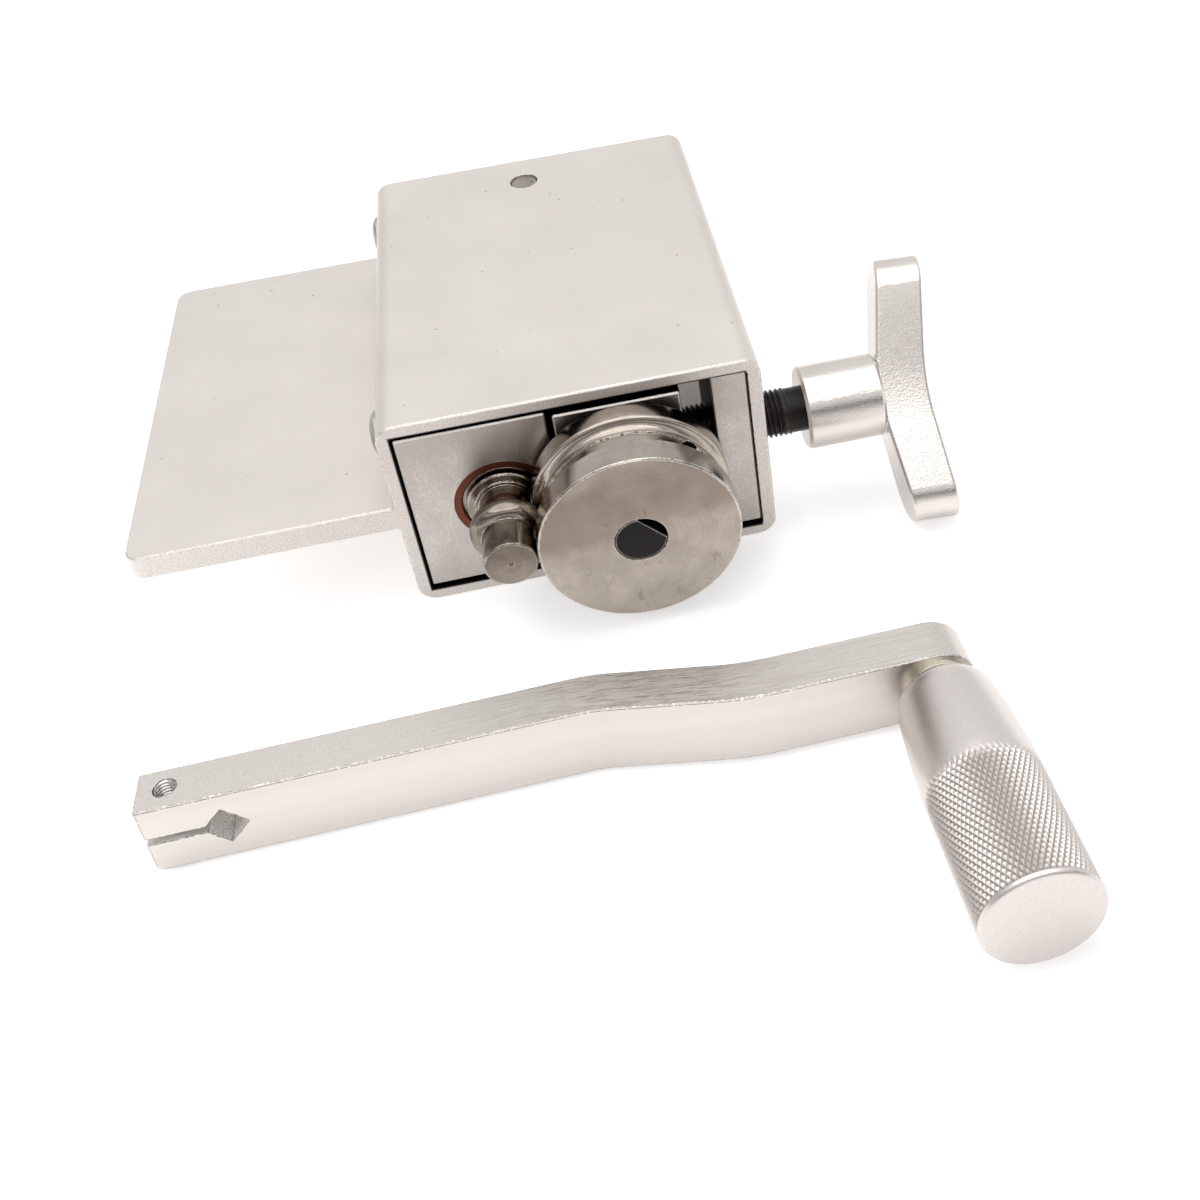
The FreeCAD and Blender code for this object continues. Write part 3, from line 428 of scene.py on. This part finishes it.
def turned_steel(name, centre, dark, light, bright_edge, roughness, depth, edge_gain):
    """Steel turned about a centre, with faint scratches, and its edges painted bright, partly burred and partly
    painted highlight.
    """
    material, tree, shader, at = start_material(name, roughness)
    cut = group_node(tree, lathe_rings, {"Vector": at}, {"Centre": centre})
    edge_zone = group_node(tree, edge_band, {"Vector": at},
                     {"Radius": 0.0003, "Gain": edge_gain, "Nicks": 0.4})
    tone = mix_colour(tree, spread(tree, cut.outputs["Cloud"], 0, 1, 0.36, 0.64), dark, light)
    ringed = mix_colour(tree, spread(tree, cut.outputs["Rings"], 0, 0.22, 0.35, 0.65), tone,
                        scaled(dark, 0.8))
    faint = spread(tree, cut.outputs["Scratches"], 0, 0.3, 0, 1)
    scored = mix_colour(tree, faint, ringed, srgb(92, 82, 72))
    burr_and_highlight = dashed_edge(tree, at, bright_edge, srgb(108, 98, 90), low=0.56)
    # painted highlight: the edges take the bright dashed colour, partly a real burred edge
    edge_toned = mix_colour(tree, edge_zone.outputs["Mask"], scored, burr_and_highlight)
    tree.links.new(edge_toned, shader.inputs["Base Color"])
    rough = spread(tree, cut.outputs["Rings"], roughness - 0.03, roughness + 0.04)
    tree.links.new(rough, shader.inputs["Roughness"])
    bump(tree, shader, cut.outputs["Rings"], depth)
    return material


dress(turned_steel("grooved_die_steel", node_centre("grooved_die"), srgb(168, 158, 148),
                   srgb(188, 177, 167), srgb(255, 253, 250), roughness=0.17, depth=0.000006,
                   edge_gain=26.0), "grooved_die")
dress(turned_steel("bead_die_steel", node_centre("bead_die_shaft"), srgb(130, 120, 110),
                   srgb(156, 146, 136), srgb(250, 246, 242), roughness=0.15, depth=0.000006,
                   edge_gain=9.0), "bead_die_shaft")


# ---- Drive spindle ---------------------------------------------------------
# The steel spindle that the crank turns. Its front end shows in the large die's bore, blackened, with a milled
# flat for the die's set screw, and its rear end is a square. The set screws are blackened too. Their edges are
# painted lighter, partly wear through the black and partly painted highlight.

def blackened_steel(name, black, worn_edge_highlight, roughness):
    """Black skin with a lighter colour painted on the edges, partly wear through the black and partly painted
    highlight.
    """
    material, tree, shader, at = start_material(name, roughness, metallic=0.75)
    skin = group_node(tree, blast_grain, {"Vector": at}, {"Grains per metre": 4000.0})
    edge_zone = group_node(tree, edge_band, {"Vector": at},
                     {"Radius": 0.0004, "Gain": 14.0, "Nicks": 0.5})
    tone = mix_colour(tree, spread(tree, skin.outputs["Cloud"], 0, 1), black,
                      scaled(black, 1.9))
    # painted highlight: the edges lighten, partly real wear
    edge_toned = mix_colour(tree, edge_zone.outputs["Mask"], tone, worn_edge_highlight)
    tree.links.new(edge_toned, shader.inputs["Base Color"])
    rough = spread(tree, skin.outputs["Cloud"], roughness - 0.06, roughness + 0.1)
    tree.links.new(rough, shader.inputs["Roughness"])
    bump(tree, shader, skin.outputs["Height"], 0.000008)
    return material


dress(blackened_steel("spindle_black", srgb(28, 26, 25), srgb(232, 226, 218),
                      roughness=0.36), "drive_shaft", "die_set_screw", "t_handle_set_screw")


# ---- Pins, pad and rings ---------------------------------------------------
# Ground steel pins carry the swinging block at the rear and the grip on its arm.
# A hard domed pad sits on the clamp screw's nose, and phosphated rings hold both
# spindles.

dress(brushed_metal("pins_ground", srgb(146, 138, 132), srgb(186, 178, 171),
                    srgb(240, 239, 236), stretch=(1800.0, 1800.0, 1800.0),
                    roughness=0.26, depth=0.000004),
      "pivot_pin_upper", "pivot_pin_lower", "thrust_pad")
dress(brushed_metal("grip_pin_ground", srgb(206, 199, 180), srgb(232, 226, 210),
                    srgb(255, 253, 246), stretch=(1800.0, 1800.0, 1800.0),
                    roughness=0.2, depth=0.000004),
      "grip_spindle")
dress(blackened_steel("rings_phosphated", srgb(66, 64, 61), srgb(150, 146, 140),
                      roughness=0.5), "idler_retaining_ring", "drive_retaining_ring")


# ---- Screws ----------------------------------------------------------------
# Zinc plated socket screws: two button heads through the left wall, two flat
# heads through the right wall, the one that pinches the crank's slit, and the
# one that holds the grip's pin.

def zinc_plate():
    """Grey plating, slightly cloudy."""
    material, tree, shader, at = start_material("screws_zinc", roughness=0.3)
    skin = group_node(tree, blast_grain, {"Vector": at}, {"Grains per metre": 3000.0})
    edge_zone = group_node(tree, edge_band, {"Vector": at}, {"Radius": 0.0003, "Nicks": 0.2})
    tone = mix_colour(tree, spread(tree, skin.outputs["Cloud"], 0, 1), srgb(142, 140, 138),
                      srgb(178, 175, 172))
    # painted highlight: pale edges, partly real wear
    edge_toned = mix_colour(tree, edge_zone.outputs["Mask"], tone, srgb(240, 240, 238))
    tree.links.new(edge_toned, shader.inputs["Base Color"])
    bump(tree, shader, skin.outputs["Height"], 0.000006)
    return material


dress(zinc_plate(), "fixed_block_screws", "nut_block_screws", "crank_clamp_screw",
      "spindle_screw")


# ---- Clamp screw -----------------------------------------------------------
# A black steel screw, 12 mm with a 1.25 mm thread, that pushes the swinging
# block home. Its thread is cut up to a plain shank, which the handle holds.

thread_pitch = 0.00125
thread_depth = 0.00072
thread_steps = 72
spare_turns = 1.5
thread_past_wall = 0.0074
shank_overlap = 0.002
plain_radius = 0.00565


def finish_mesh(name, shape, smooth_under=None):
    """Makes a bmesh an object at the origin; edges turning less than the angle shade smooth."""
    bmesh.ops.recalc_face_normals(shape, faces=shape.faces)
    for face in shape.faces:
        face.smooth = smooth_under is not None
    if smooth_under is not None:
        for edge in shape.edges:
            edge.smooth = len(edge.link_faces) != 2 or edge.calc_face_angle(0) < smooth_under
    mesh = bpy.data.meshes.new(name)
    shape.to_mesh(mesh)
    shape.free()
    piece = bpy.data.objects.new(name, mesh)
    bpy.context.scene.collection.objects.link(piece)
    return piece


def cut_off(shape, place, outward, closed=True):
    """Cuts away what is outward of a plane, and closes the cut."""
    everything = shape.verts[:] + shape.edges[:] + shape.faces[:]
    cut = bmesh.ops.bisect_plane(shape, geom=everything, plane_co=place, plane_no=outward,
                                 clear_outer=True, dist=1e-7)
    if closed:
        rim = [part for part in cut["geom_cut"] if isinstance(part, bmesh.types.BMEdge)]
        bmesh.ops.edgeloop_fill(shape, edges=rim)


def profile_edges(shape, points):
    """A row of points as vertices and the edges between them, to be spun."""
    verts = [shape.verts.new(point) for point in points]
    edges = [shape.edges.new(pair) for pair in zip(verts, verts[1:])]
    return verts + edges


screw_low, screw_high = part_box("clamp_screw")
screw_radius = (screw_high[2] - screw_low[2]) / 2
screw_axis = Vector((0, (screw_low[1] + screw_high[1]) / 2, (screw_low[2] + screw_high[2]) / 2))
thread_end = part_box("housing")[1][0] + thread_past_wall
thread_root = screw_radius - thread_depth
thread = bmesh.new()
teeth = []
turns = math.ceil((thread_end - screw_low[0]) / thread_pitch) + 2
for turn in range(turns):
    tooth_x = screw_low[0] + (turn - spare_turns) * thread_pitch
    for along, radius in ((0.0, thread_root), (0.16, thread_root), (0.5, screw_radius),
                          (0.66, screw_radius)):
        teeth.append(Vector((tooth_x + along * thread_pitch, 0, radius)) + screw_axis)
bmesh.ops.spin(thread, geom=profile_edges(thread, teeth), cent=screw_axis, axis=(1, 0, 0),
               dvec=(thread_pitch / thread_steps, 0, 0), angle=2 * math.pi,
               steps=thread_steps, use_merge=False)
bmesh.ops.remove_doubles(thread, verts=thread.verts, dist=1e-6)
cut_off(thread, (screw_low[0], 0, 0), (-1, 0, 0))
cut_off(thread, (thread_end, 0, 0), (1, 0, 0))
shank_start = thread_end - shank_overlap
shank = [Vector((shank_start, 0, 0)), Vector((shank_start, 0, plain_radius)),
         Vector((screw_high[0], 0, plain_radius)), Vector((screw_high[0], 0, 0))]
shank = [point + screw_axis for point in shank]
bmesh.ops.spin(thread, geom=profile_edges(thread, shank), cent=screw_axis, axis=(1, 0, 0),
               angle=2 * math.pi, steps=thread_steps, use_merge=True)
bmesh.ops.remove_doubles(thread, verts=thread.verts, dist=1e-7)
clamp_screw = finish_mesh("clamp_screw_threaded", thread, smooth_under=math.radians(28))
clamp_screw.data.materials.append(
    blackened_steel("clamp_screw_black", srgb(24, 23, 22), srgb(84, 80, 76), roughness=0.32))
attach(clamp_screw, "clamp_spindle")
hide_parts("clamp_screw")


# ---- T-handle --------------------------------------------------------------
# A cast aluminium handle, a round hub with a flat bar across it, blasted with
# a coarser grit than the housing, so it glitters with a satin grain.

dress(blasted_aluminium("t_handle_blasted", srgb(217, 210, 205), srgb(227, 221, 216),
                        srgb(252, 250, 247), grains=2150.0, depth=0.00006, roughness=0.17,
                        nicks=0.2), "t_handle")


# ---- Crank arm -------------------------------------------------------------
# A bent aluminium bar with a square socket at its split end. The milling cutter ran along it round the bend, and
# left streaks on the narrow faces. In the bend the narrow faces are painted darker in streaks as shade, and the
# edges are painted bright with dark dashes, partly thin burrs and partly painted highlight.

spin_joint = next(j for j in frame["joints"] if j["name"] == "grip_spin")
grip_axis = Vector(spin_joint["axis"]).normalized()
grip_foot = Vector(spin_joint["pos_m"])
arm_along = grip_axis.cross(Vector((0, 0, 1))).normalized()
if arm_along.x < 0:
    arm_along.negate()
arm_up = arm_along.cross(-grip_axis).normalized()
arm_yaw = math.atan2(arm_along.y, arm_along.x)
arm_roll = math.asin(grip_axis.z)

grip_from_end = 0.1673
jog = -0.0067
jog_from, jog_to = 0.08, 0.136
# where the narrow faces are painted darker as shade in the bend
bend_shade_from, bend_shade_to, bend_shade_fade = 0.083, 0.128, 0.012
streaks_from, streaks_to = 0.05, 0.09
socket_from, socket_to, socket_reach, socket_soft = 0.0015, 0.0215, 0.0052, 0.0002
arm_start = arm_along.dot(grip_foot) - grip_from_end
mounts = {mount["name"]: mount for mount in frame["record"]["mounts"]}
socket_at = Vector(mounts["crank_socket"]["pos_m"])
socket_height = arm_up.dot(socket_at)


def milled_bar(name):
    """Smooth wide faces, streaky narrow faces, painted shade in streaks across the bend, edges painted bright as
    partly burrs and partly highlight, and pale broached walls in the socket. Places along the bar are from its
    split end."""
    material, tree, shader, at = start_material(name, roughness=0.34)
    level = add(tree, "ShaderNodeMapping", {"Rotation": (arm_roll, 0, -arm_yaw)}, {"Vector": at})
    place = add(tree, "ShaderNodeSeparateXYZ", links={0: level.outputs["Vector"]})
    bent = add(tree, "ShaderNodeMapRange",
               {"From Min": arm_start + jog_from, "From Max": arm_start + jog_to,
                "To Min": 0.0, "To Max": jog},
               {"Value": place.outputs["X"]}, interpolation_type="SMOOTHSTEP")
    across = add(tree, "ShaderNodeMath", links={0: place.outputs["Y"], 1: bent.outputs["Result"]},
                 operation="SUBTRACT")
    run = add(tree, "ShaderNodeCombineXYZ", links={"X": place.outputs["X"],
                                                   "Y": across.outputs[0],
                                                   "Z": place.outputs["Z"]})
    narrow = spread(tree, faces_along(tree, arm_up), 0, 1, 0.75, 0.95)
    cuts = group_node(tree, drawn_lines, {"Vector": run.outputs["Vector"]},
                      {"Stretch": (90.0, 3400.0, 3400.0)})
    coarse_lines = group_node(tree, drawn_lines, {"Vector": run.outputs["Vector"]},
                       {"Stretch": (190.0, 3200.0, 3200.0)})
    grain = group_node(tree, drawn_lines, {"Vector": at}, {"Stretch": (2200.0, 2200.0, 2200.0)})
    wide_tone = mix_colour(tree, spread(tree, cuts.outputs["Bands"], 0, 1), srgb(214, 207, 203),
                           srgb(219, 213, 208))
    outer_half = spread(tree, place.outputs["X"], 0.12, 1, arm_start + streaks_from,
                        arm_start + streaks_to)
    streak = times(tree, outer_half, spread(tree, cuts.outputs["Lines"], 0, 1, 0.4, 0.64))
    # painted shade: the narrow faces darken in streaks through the bend
    bend = within(tree, place.outputs["X"], arm_start + bend_shade_from, arm_start + bend_shade_to, bend_shade_fade)
    bend_shade = times(tree, bend, spread(tree, coarse_lines.outputs["Lines"], 0, 1, 0.5, 0.64))
    mottled = mix_colour(tree, spread(tree, grain.outputs["Lines"], 0, 1, 0.35, 0.65),
                         srgb(215, 209, 204), srgb(230, 225, 220))
    narrow_tone = mix_colour(tree, bend_shade, mix_colour(tree, streak, mottled, srgb(206, 199, 193)),
                             srgb(158, 149, 143))
    off_the_face = spread(tree, faces_along(tree, grip_axis), 1, 0, 0.75, 0.95)
    near_end = within(tree, place.outputs["X"], arm_start + socket_from, arm_start + socket_to,
                      socket_soft)
    mid_height = within(tree, place.outputs["Z"], socket_height - socket_reach,
                        socket_height + socket_reach, socket_soft)
    wall = times(tree, times(tree, near_end, mid_height), off_the_face)
    broached = mix_colour(tree, spread(tree, coarse_lines.outputs["Lines"], 0, 1, 0.4, 0.6),
                          srgb(250, 247, 244), srgb(196, 192, 188))
    tone = mix_colour(tree, narrow, wide_tone, narrow_tone)
    tone = mix_colour(tree, wall, tone, broached)
    edge_zone = group_node(tree, edge_band, {"Vector": at},
                     {"Radius": 0.0003, "Gain": 26.0, "Nicks": 0.0})
    burr_and_highlight = dashed_edge(tree, at, srgb(255, 254, 252), srgb(104, 96, 90), low=0.37,
                       shift=spread(tree, narrow, 0, 0.12, 0, 1))
    # painted highlight: bright edges with dark dashes, partly real burrs
    edge_toned = mix_colour(tree, edge_zone.outputs["Mask"], tone, burr_and_highlight)
    tree.links.new(edge_toned, shader.inputs["Base Color"])
    tree.links.new(spread(tree, wall, 1, 0.15, 0, 1), shader.inputs["Metallic"])
    rough = spread(tree, cuts.outputs["Lines"], 0.3, 0.42)
    tree.links.new(rough, shader.inputs["Roughness"])
    bump(tree, shader, times(tree, cuts.outputs["Lines"], narrow), 0.00002)
    return material


dress(milled_bar("crank_arm_milled"), "crank_arm")


# ---- Tapped hole -----------------------------------------------------------
# The cross screw's M5 hole in the arm's upper half. Its thread is cut with a
# tap, and shows as bright ridges above the screw's end.

tap_pitch = 0.0008
tap_crest = 0.00212
tap_root = 0.00249
tap_steps = 48
tap_turns = 9
tap_low, tap_high = 0.0039, 0.0086
tap_first = 0.0028
tap_skin = 0.00008
tap_from_socket = 0.0106
tapped = bmesh.new()
ridges = []
for turn in range(tap_turns):
    for along, radius in ((0.0, tap_root), (0.42, tap_crest), (0.55, tap_crest)):
        ridges.append(Vector((radius, 0, tap_first + (turn + along) * tap_pitch)))
bmesh.ops.spin(tapped, geom=profile_edges(tapped, ridges), cent=(0, 0, 0), axis=(0, 0, 1),
               dvec=(0, 0, tap_pitch / tap_steps), angle=2 * math.pi, steps=tap_steps,
               use_merge=False)
bmesh.ops.remove_doubles(tapped, verts=tapped.verts, dist=1e-6)
for height, side in ((tap_low, -1), (tap_high, 1)):
    cut_off(tapped, (0, 0, height), (0, 0, side), closed=False)
bmesh.ops.recalc_face_normals(tapped, faces=tapped.faces)
bmesh.ops.solidify(tapped, geom=tapped.faces[:], thickness=-tap_skin)
tap_turned = Matrix((arm_along, -grip_axis, arm_up)).transposed().to_4x4()
place_tap = Matrix.Translation(socket_at - arm_along * tap_from_socket) @ tap_turned
bmesh.ops.transform(tapped, matrix=place_tap, verts=tapped.verts)
tapped_thread = finish_mesh("crank_arm_tapped_thread", tapped, smooth_under=math.radians(30))
tapped_thread.data.materials.append(
    brushed_metal("tapped_thread_bright", srgb(186, 180, 174), srgb(224, 219, 213),
                  srgb(255, 254, 252), stretch=(900.0, 900.0, 900.0), roughness=0.2,
                  depth=0.000004))
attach(tapped_thread, "crank")


# ---- Grip ------------------------------------------------------------------
# An aluminium grip that turns on its pin: a blasted satin neck, then a 30 degree diamond knurl rolled in by two
# wheels, up to a rounded end. The knurl's grooves are painted darker as shade.

grip_gap = 0.0028
grip_length = 0.0573
grip_radius = 0.0124
neck_start = 0.003
neck_radius = 0.0106
neck_end = 0.027
neck_steps = 12
round_steps = 4
knurl_start = 0.0254
knurl_end = 0.0561
knurl_around = 60
knurl_along = 0.0022
knurl_depth = 0.00042
knurl_flank = 0.42
knurl_fade = 0.003
end_round = 0.001
bore_depth = 0.0493
bore_radius = 0.00604
bush_seat_depth = 0.007
bush_seat_radius = 0.00692
mouth_radius = 0.0074
mouth_round = [(0.00025, 0.00835), (0.00085, 0.0093), (0.0018, 0.01008)]


def grip_radius_at(along):
    """The grip's outside before it is knurled: a slow belly, then straight."""
    left = max(0.0, (neck_end - along) / (neck_end - neck_start))
    return grip_radius - (grip_radius - neck_radius) * left ** 1.7


outline = [(bore_depth, 0.0), (bore_depth, bore_radius), (bush_seat_depth, bore_radius),
           (bush_seat_depth, bush_seat_radius), (0.0, bush_seat_radius), (0.0, mouth_radius)]
outline += mouth_round
for step in range(neck_steps):
    along = neck_start + step * (knurl_start - neck_start) / neck_steps
    outline.append((along, grip_radius_at(along)))
row_height = knurl_along / 4
for row in range(int((knurl_end - knurl_start) / row_height) + 1):
    along = knurl_start + row * row_height
    outline.append((along, grip_radius_at(along)))
for step in range(round_steps + 1):
    turn = math.pi / 2 * step / round_steps
    outline.append((grip_length - end_round * (1 - math.sin(turn)),
                    grip_radius - end_round * (1 - math.cos(turn))))
outline.append((grip_length, 0.0))
grip_shape = bmesh.new()
outline = [Vector((radius, 0, along)) for along, radius in outline]
bmesh.ops.spin(grip_shape, geom=profile_edges(grip_shape, outline), cent=(0, 0, 0),
               axis=(0, 0, 1), angle=2 * math.pi, steps=4 * knurl_around, use_merge=True)
bmesh.ops.remove_doubles(grip_shape, verts=grip_shape.verts, dist=1e-6)
groove = grip_shape.verts.layers.float.new("groove")
for vert in grip_shape.verts:
    radius = math.hypot(vert.co.x, vert.co.y)
    into = vert.co.z - knurl_start
    if into < -1e-6 or vert.co.z > knurl_end or radius < neck_radius:
        continue
    around = knurl_around * math.atan2(vert.co.y, vert.co.x) / (2 * math.pi)
    wheels = (around + into / knurl_along, around - into / knurl_along)
    flank = min(abs(wheel - round(wheel)) for wheel in wheels)
    vert[groove] = (1 - min(1, flank / knurl_flank)) * min(1, into / knurl_fade)
    vert.co.xy *= (radius - knurl_depth * vert[groove]) / radius
for face in list(grip_shape.faces):
    corners = face.verts[:]
    if len(corners) != 4 or face.calc_center_median().z < knurl_start:
        continue
    depths = [math.hypot(vert.co.x, vert.co.y) for vert in corners]
    if min(depths) < neck_radius:
        continue
    # split along the deeper diagonal, so that the grooves stay sharp
    first = 0 if depths[0] + depths[2] < depths[1] + depths[3] else 1
    bmesh.utils.face_split(face, corners[first], corners[first + 2])
sideways = grip_axis.cross(arm_along)
stand = Matrix((arm_along, sideways, grip_axis)).transposed().to_4x4()
place_grip = Matrix.Translation(grip_foot + grip_axis * grip_gap) @ stand
bmesh.ops.transform(grip_shape, matrix=place_grip, verts=grip_shape.verts)
grip = finish_mesh("crank_grip_knurled", grip_shape, smooth_under=math.radians(24))


def knurled_satin(name):
    """Satin aluminium, with painted shade darkening the knurl's grooves."""
    material, tree, shader, at = start_material(name, roughness=0.34)
    skin = group_node(tree, blast_grain, {"Vector": at}, {"Grains per metre": 3400.0})
    plain = mix_colour(tree, spread(tree, skin.outputs["Height"], 0, 1), srgb(214, 207, 203),
                       srgb(230, 224, 220))
    shade_zone = add(tree, "ShaderNodeAttribute", attribute_name="groove")
    cut = spread(tree, shade_zone.outputs["Fac"], 0, 1, 0.5, 1.0)
    # painted shade: the knurl's grooves take a darker colour
    tree.links.new(mix_colour(tree, cut, plain, srgb(176, 170, 165)), shader.inputs["Base Color"])
    bump(tree, shader, skin.outputs["Height"], 0.00002, edge=0.00012)
    return material


grip.data.materials.append(knurled_satin("grip_satin"))
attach(grip, "grip")
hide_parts("crank_grip")


# ---- Floor, light and camera -----------------------------------------------
# A white table under two soft boxes. The camera sees white around it. The metal
# reflects a room, pale behind, greyer to the left and bright overhead, with two
# dark bands in front and bright ones between and above them.

def grey(level):
    """A linear grey, as a colour."""
    return (level, level, level, 1.0)


under_the_base = 0.0001
floor_shape = bmesh.new()
bmesh.ops.create_grid(floor_shape, x_segments=1, y_segments=1, size=4.0)
floor = finish_mesh("table_top", floor_shape)
white, tree, shader, _ = start_material("table_white", roughness=0.7, metallic=0.0)
shader.inputs["Base Color"].default_value = grey(0.86)
path = add(tree, "ShaderNodeLightPath")
seen_glow = add(tree, "ShaderNodeMath", {1: 0.46}, {0: path.outputs["Is Camera Ray"]},
                operation="MULTIPLY")
glow = add(tree, "ShaderNodeMath", {1: 0.26},
           {0: path.outputs["Is Glossy Ray"], 2: seen_glow.outputs[0]}, operation="MULTIPLY_ADD")
shader.inputs["Emission Color"].default_value = grey(1.0)
tree.links.new(glow.outputs[0], shader.inputs["Emission Strength"])
floor.data.materials.append(white)
floor.data.transform(Matrix.Translation((0, 0, -under_the_base)))



def grey_ramp(tree, source, stops):
    """A ramp through (position, brightness) stops."""
    node = add(tree, "ShaderNodeValToRGB", links={"Fac": source})
    marks = node.color_ramp.elements
    while len(marks) < len(stops):
        marks.new(0.5)
    for mark, (place, level) in zip(marks, stops):
        mark.position = place
        mark.color = grey(level)
    return node.outputs["Color"]


world = bpy.data.worlds.new("studio")
bpy.context.scene.world = world
world.use_nodes = True
tree = world.node_tree
tree.nodes.clear()
direction = add(tree, "ShaderNodeTexCoord")
parts = add(tree, "ShaderNodeSeparateXYZ", links={0: direction.outputs["Generated"]})
before = grey_ramp(tree, parts.outputs["Z"],
                   [(0.0, 0.72), (0.2, 0.66), (0.28, 0.24), (0.45, 0.2), (0.52, 1.1),
                    (0.61, 1.1), (0.64, 0.7), (0.675, 0.64), (0.69, 0.03), (0.732, 0.03),
                    (0.747, 2.6), (1.0, 1.5)])
behind = grey_ramp(tree, parts.outputs["Z"], [(0.0, 0.8), (0.3, 0.86), (0.7, 0.92), (0.9, 1.0)])
rearward = spread(tree, parts.outputs["Y"], 0, 1, -0.12, 0.12)
walls = mix_colour(tree, rearward, before, behind)
overhead = spread(tree, parts.outputs["Z"], 0, 1, 0.86, 0.9)
leftward = spread(tree, parts.outputs["X"], 0.45, 0, -0.85, -0.5)
walls = mix_colour(tree, leftward, walls, grey(0.4))
room = mix_colour(tree, overhead, walls, grey(2.0))
path = add(tree, "ShaderNodeLightPath")
soft = mix_colour(tree, path.outputs["Is Glossy Ray"], grey(0.66), room)
clear = add(tree, "ShaderNodeMath", links={0: path.outputs["Is Camera Ray"],
                                           1: path.outputs["Is Transmission Ray"]},
            operation="MAXIMUM")
shown = mix_colour(tree, clear.outputs[0], soft, grey(1.0))
light = add(tree, "ShaderNodeBackground", links={"Color": shown})
add(tree, "ShaderNodeOutputWorld", links={"Surface": light.outputs[0]})


def soft_box(name, place, target, width, height, power):
    """A rectangular lamp aimed at a point, hidden from reflections."""
    lamp = bpy.data.lights.new(name, "AREA")
    lamp.shape = "RECTANGLE"
    lamp.size = width
    lamp.size_y = height
    lamp.energy = power
    holder = bpy.data.objects.new(name, lamp)
    holder.location = place
    holder.rotation_euler = (Vector(target) - Vector(place)).to_track_quat("-Z", "Y").to_euler()
    holder.visible_glossy = False
    bpy.context.scene.collection.objects.link(holder)


middle_of_roller = (0, -0.02, 0.02)
soft_box("box_over", (-0.15, 0.15, 0.75), middle_of_roller, width=0.7, height=0.5, power=4.2)
soft_box("box_left", (-0.75, -0.25, 0.45), middle_of_roller, width=0.4, height=0.5, power=1.8)

frame_width = 1200
focal_length = 1482.9
optical_centre = (712.675, 323.992)
camera_data = bpy.data.cameras.new("camera")
camera_data.sensor_width = 36.0
camera_data.lens = camera_data.sensor_width * focal_length / frame_width
camera_data.shift_x = (frame_width / 2 - optical_centre[0]) / frame_width
camera_data.shift_y = (optical_centre[1] - frame_width / 2) / frame_width
camera_data.clip_start = 0.01
camera = bpy.data.objects.new("camera", camera_data)
bpy.context.scene.collection.objects.link(camera)
eye = (0.005275, -0.32921, 0.26038)
turn = Vector((2.17317536, -0.253401943, -0.0075997925))
to_eye = Matrix.Rotation(turn.length, 3, turn.normalized())
from_eye = (Matrix.Diagonal((1, -1, -1)) @ to_eye).transposed()
camera.matrix_world = Matrix.Translation(eye) @ from_eye.to_4x4()
bpy.context.scene.camera = camera
bpy.context.scene.view_settings.view_transform = "Standard"
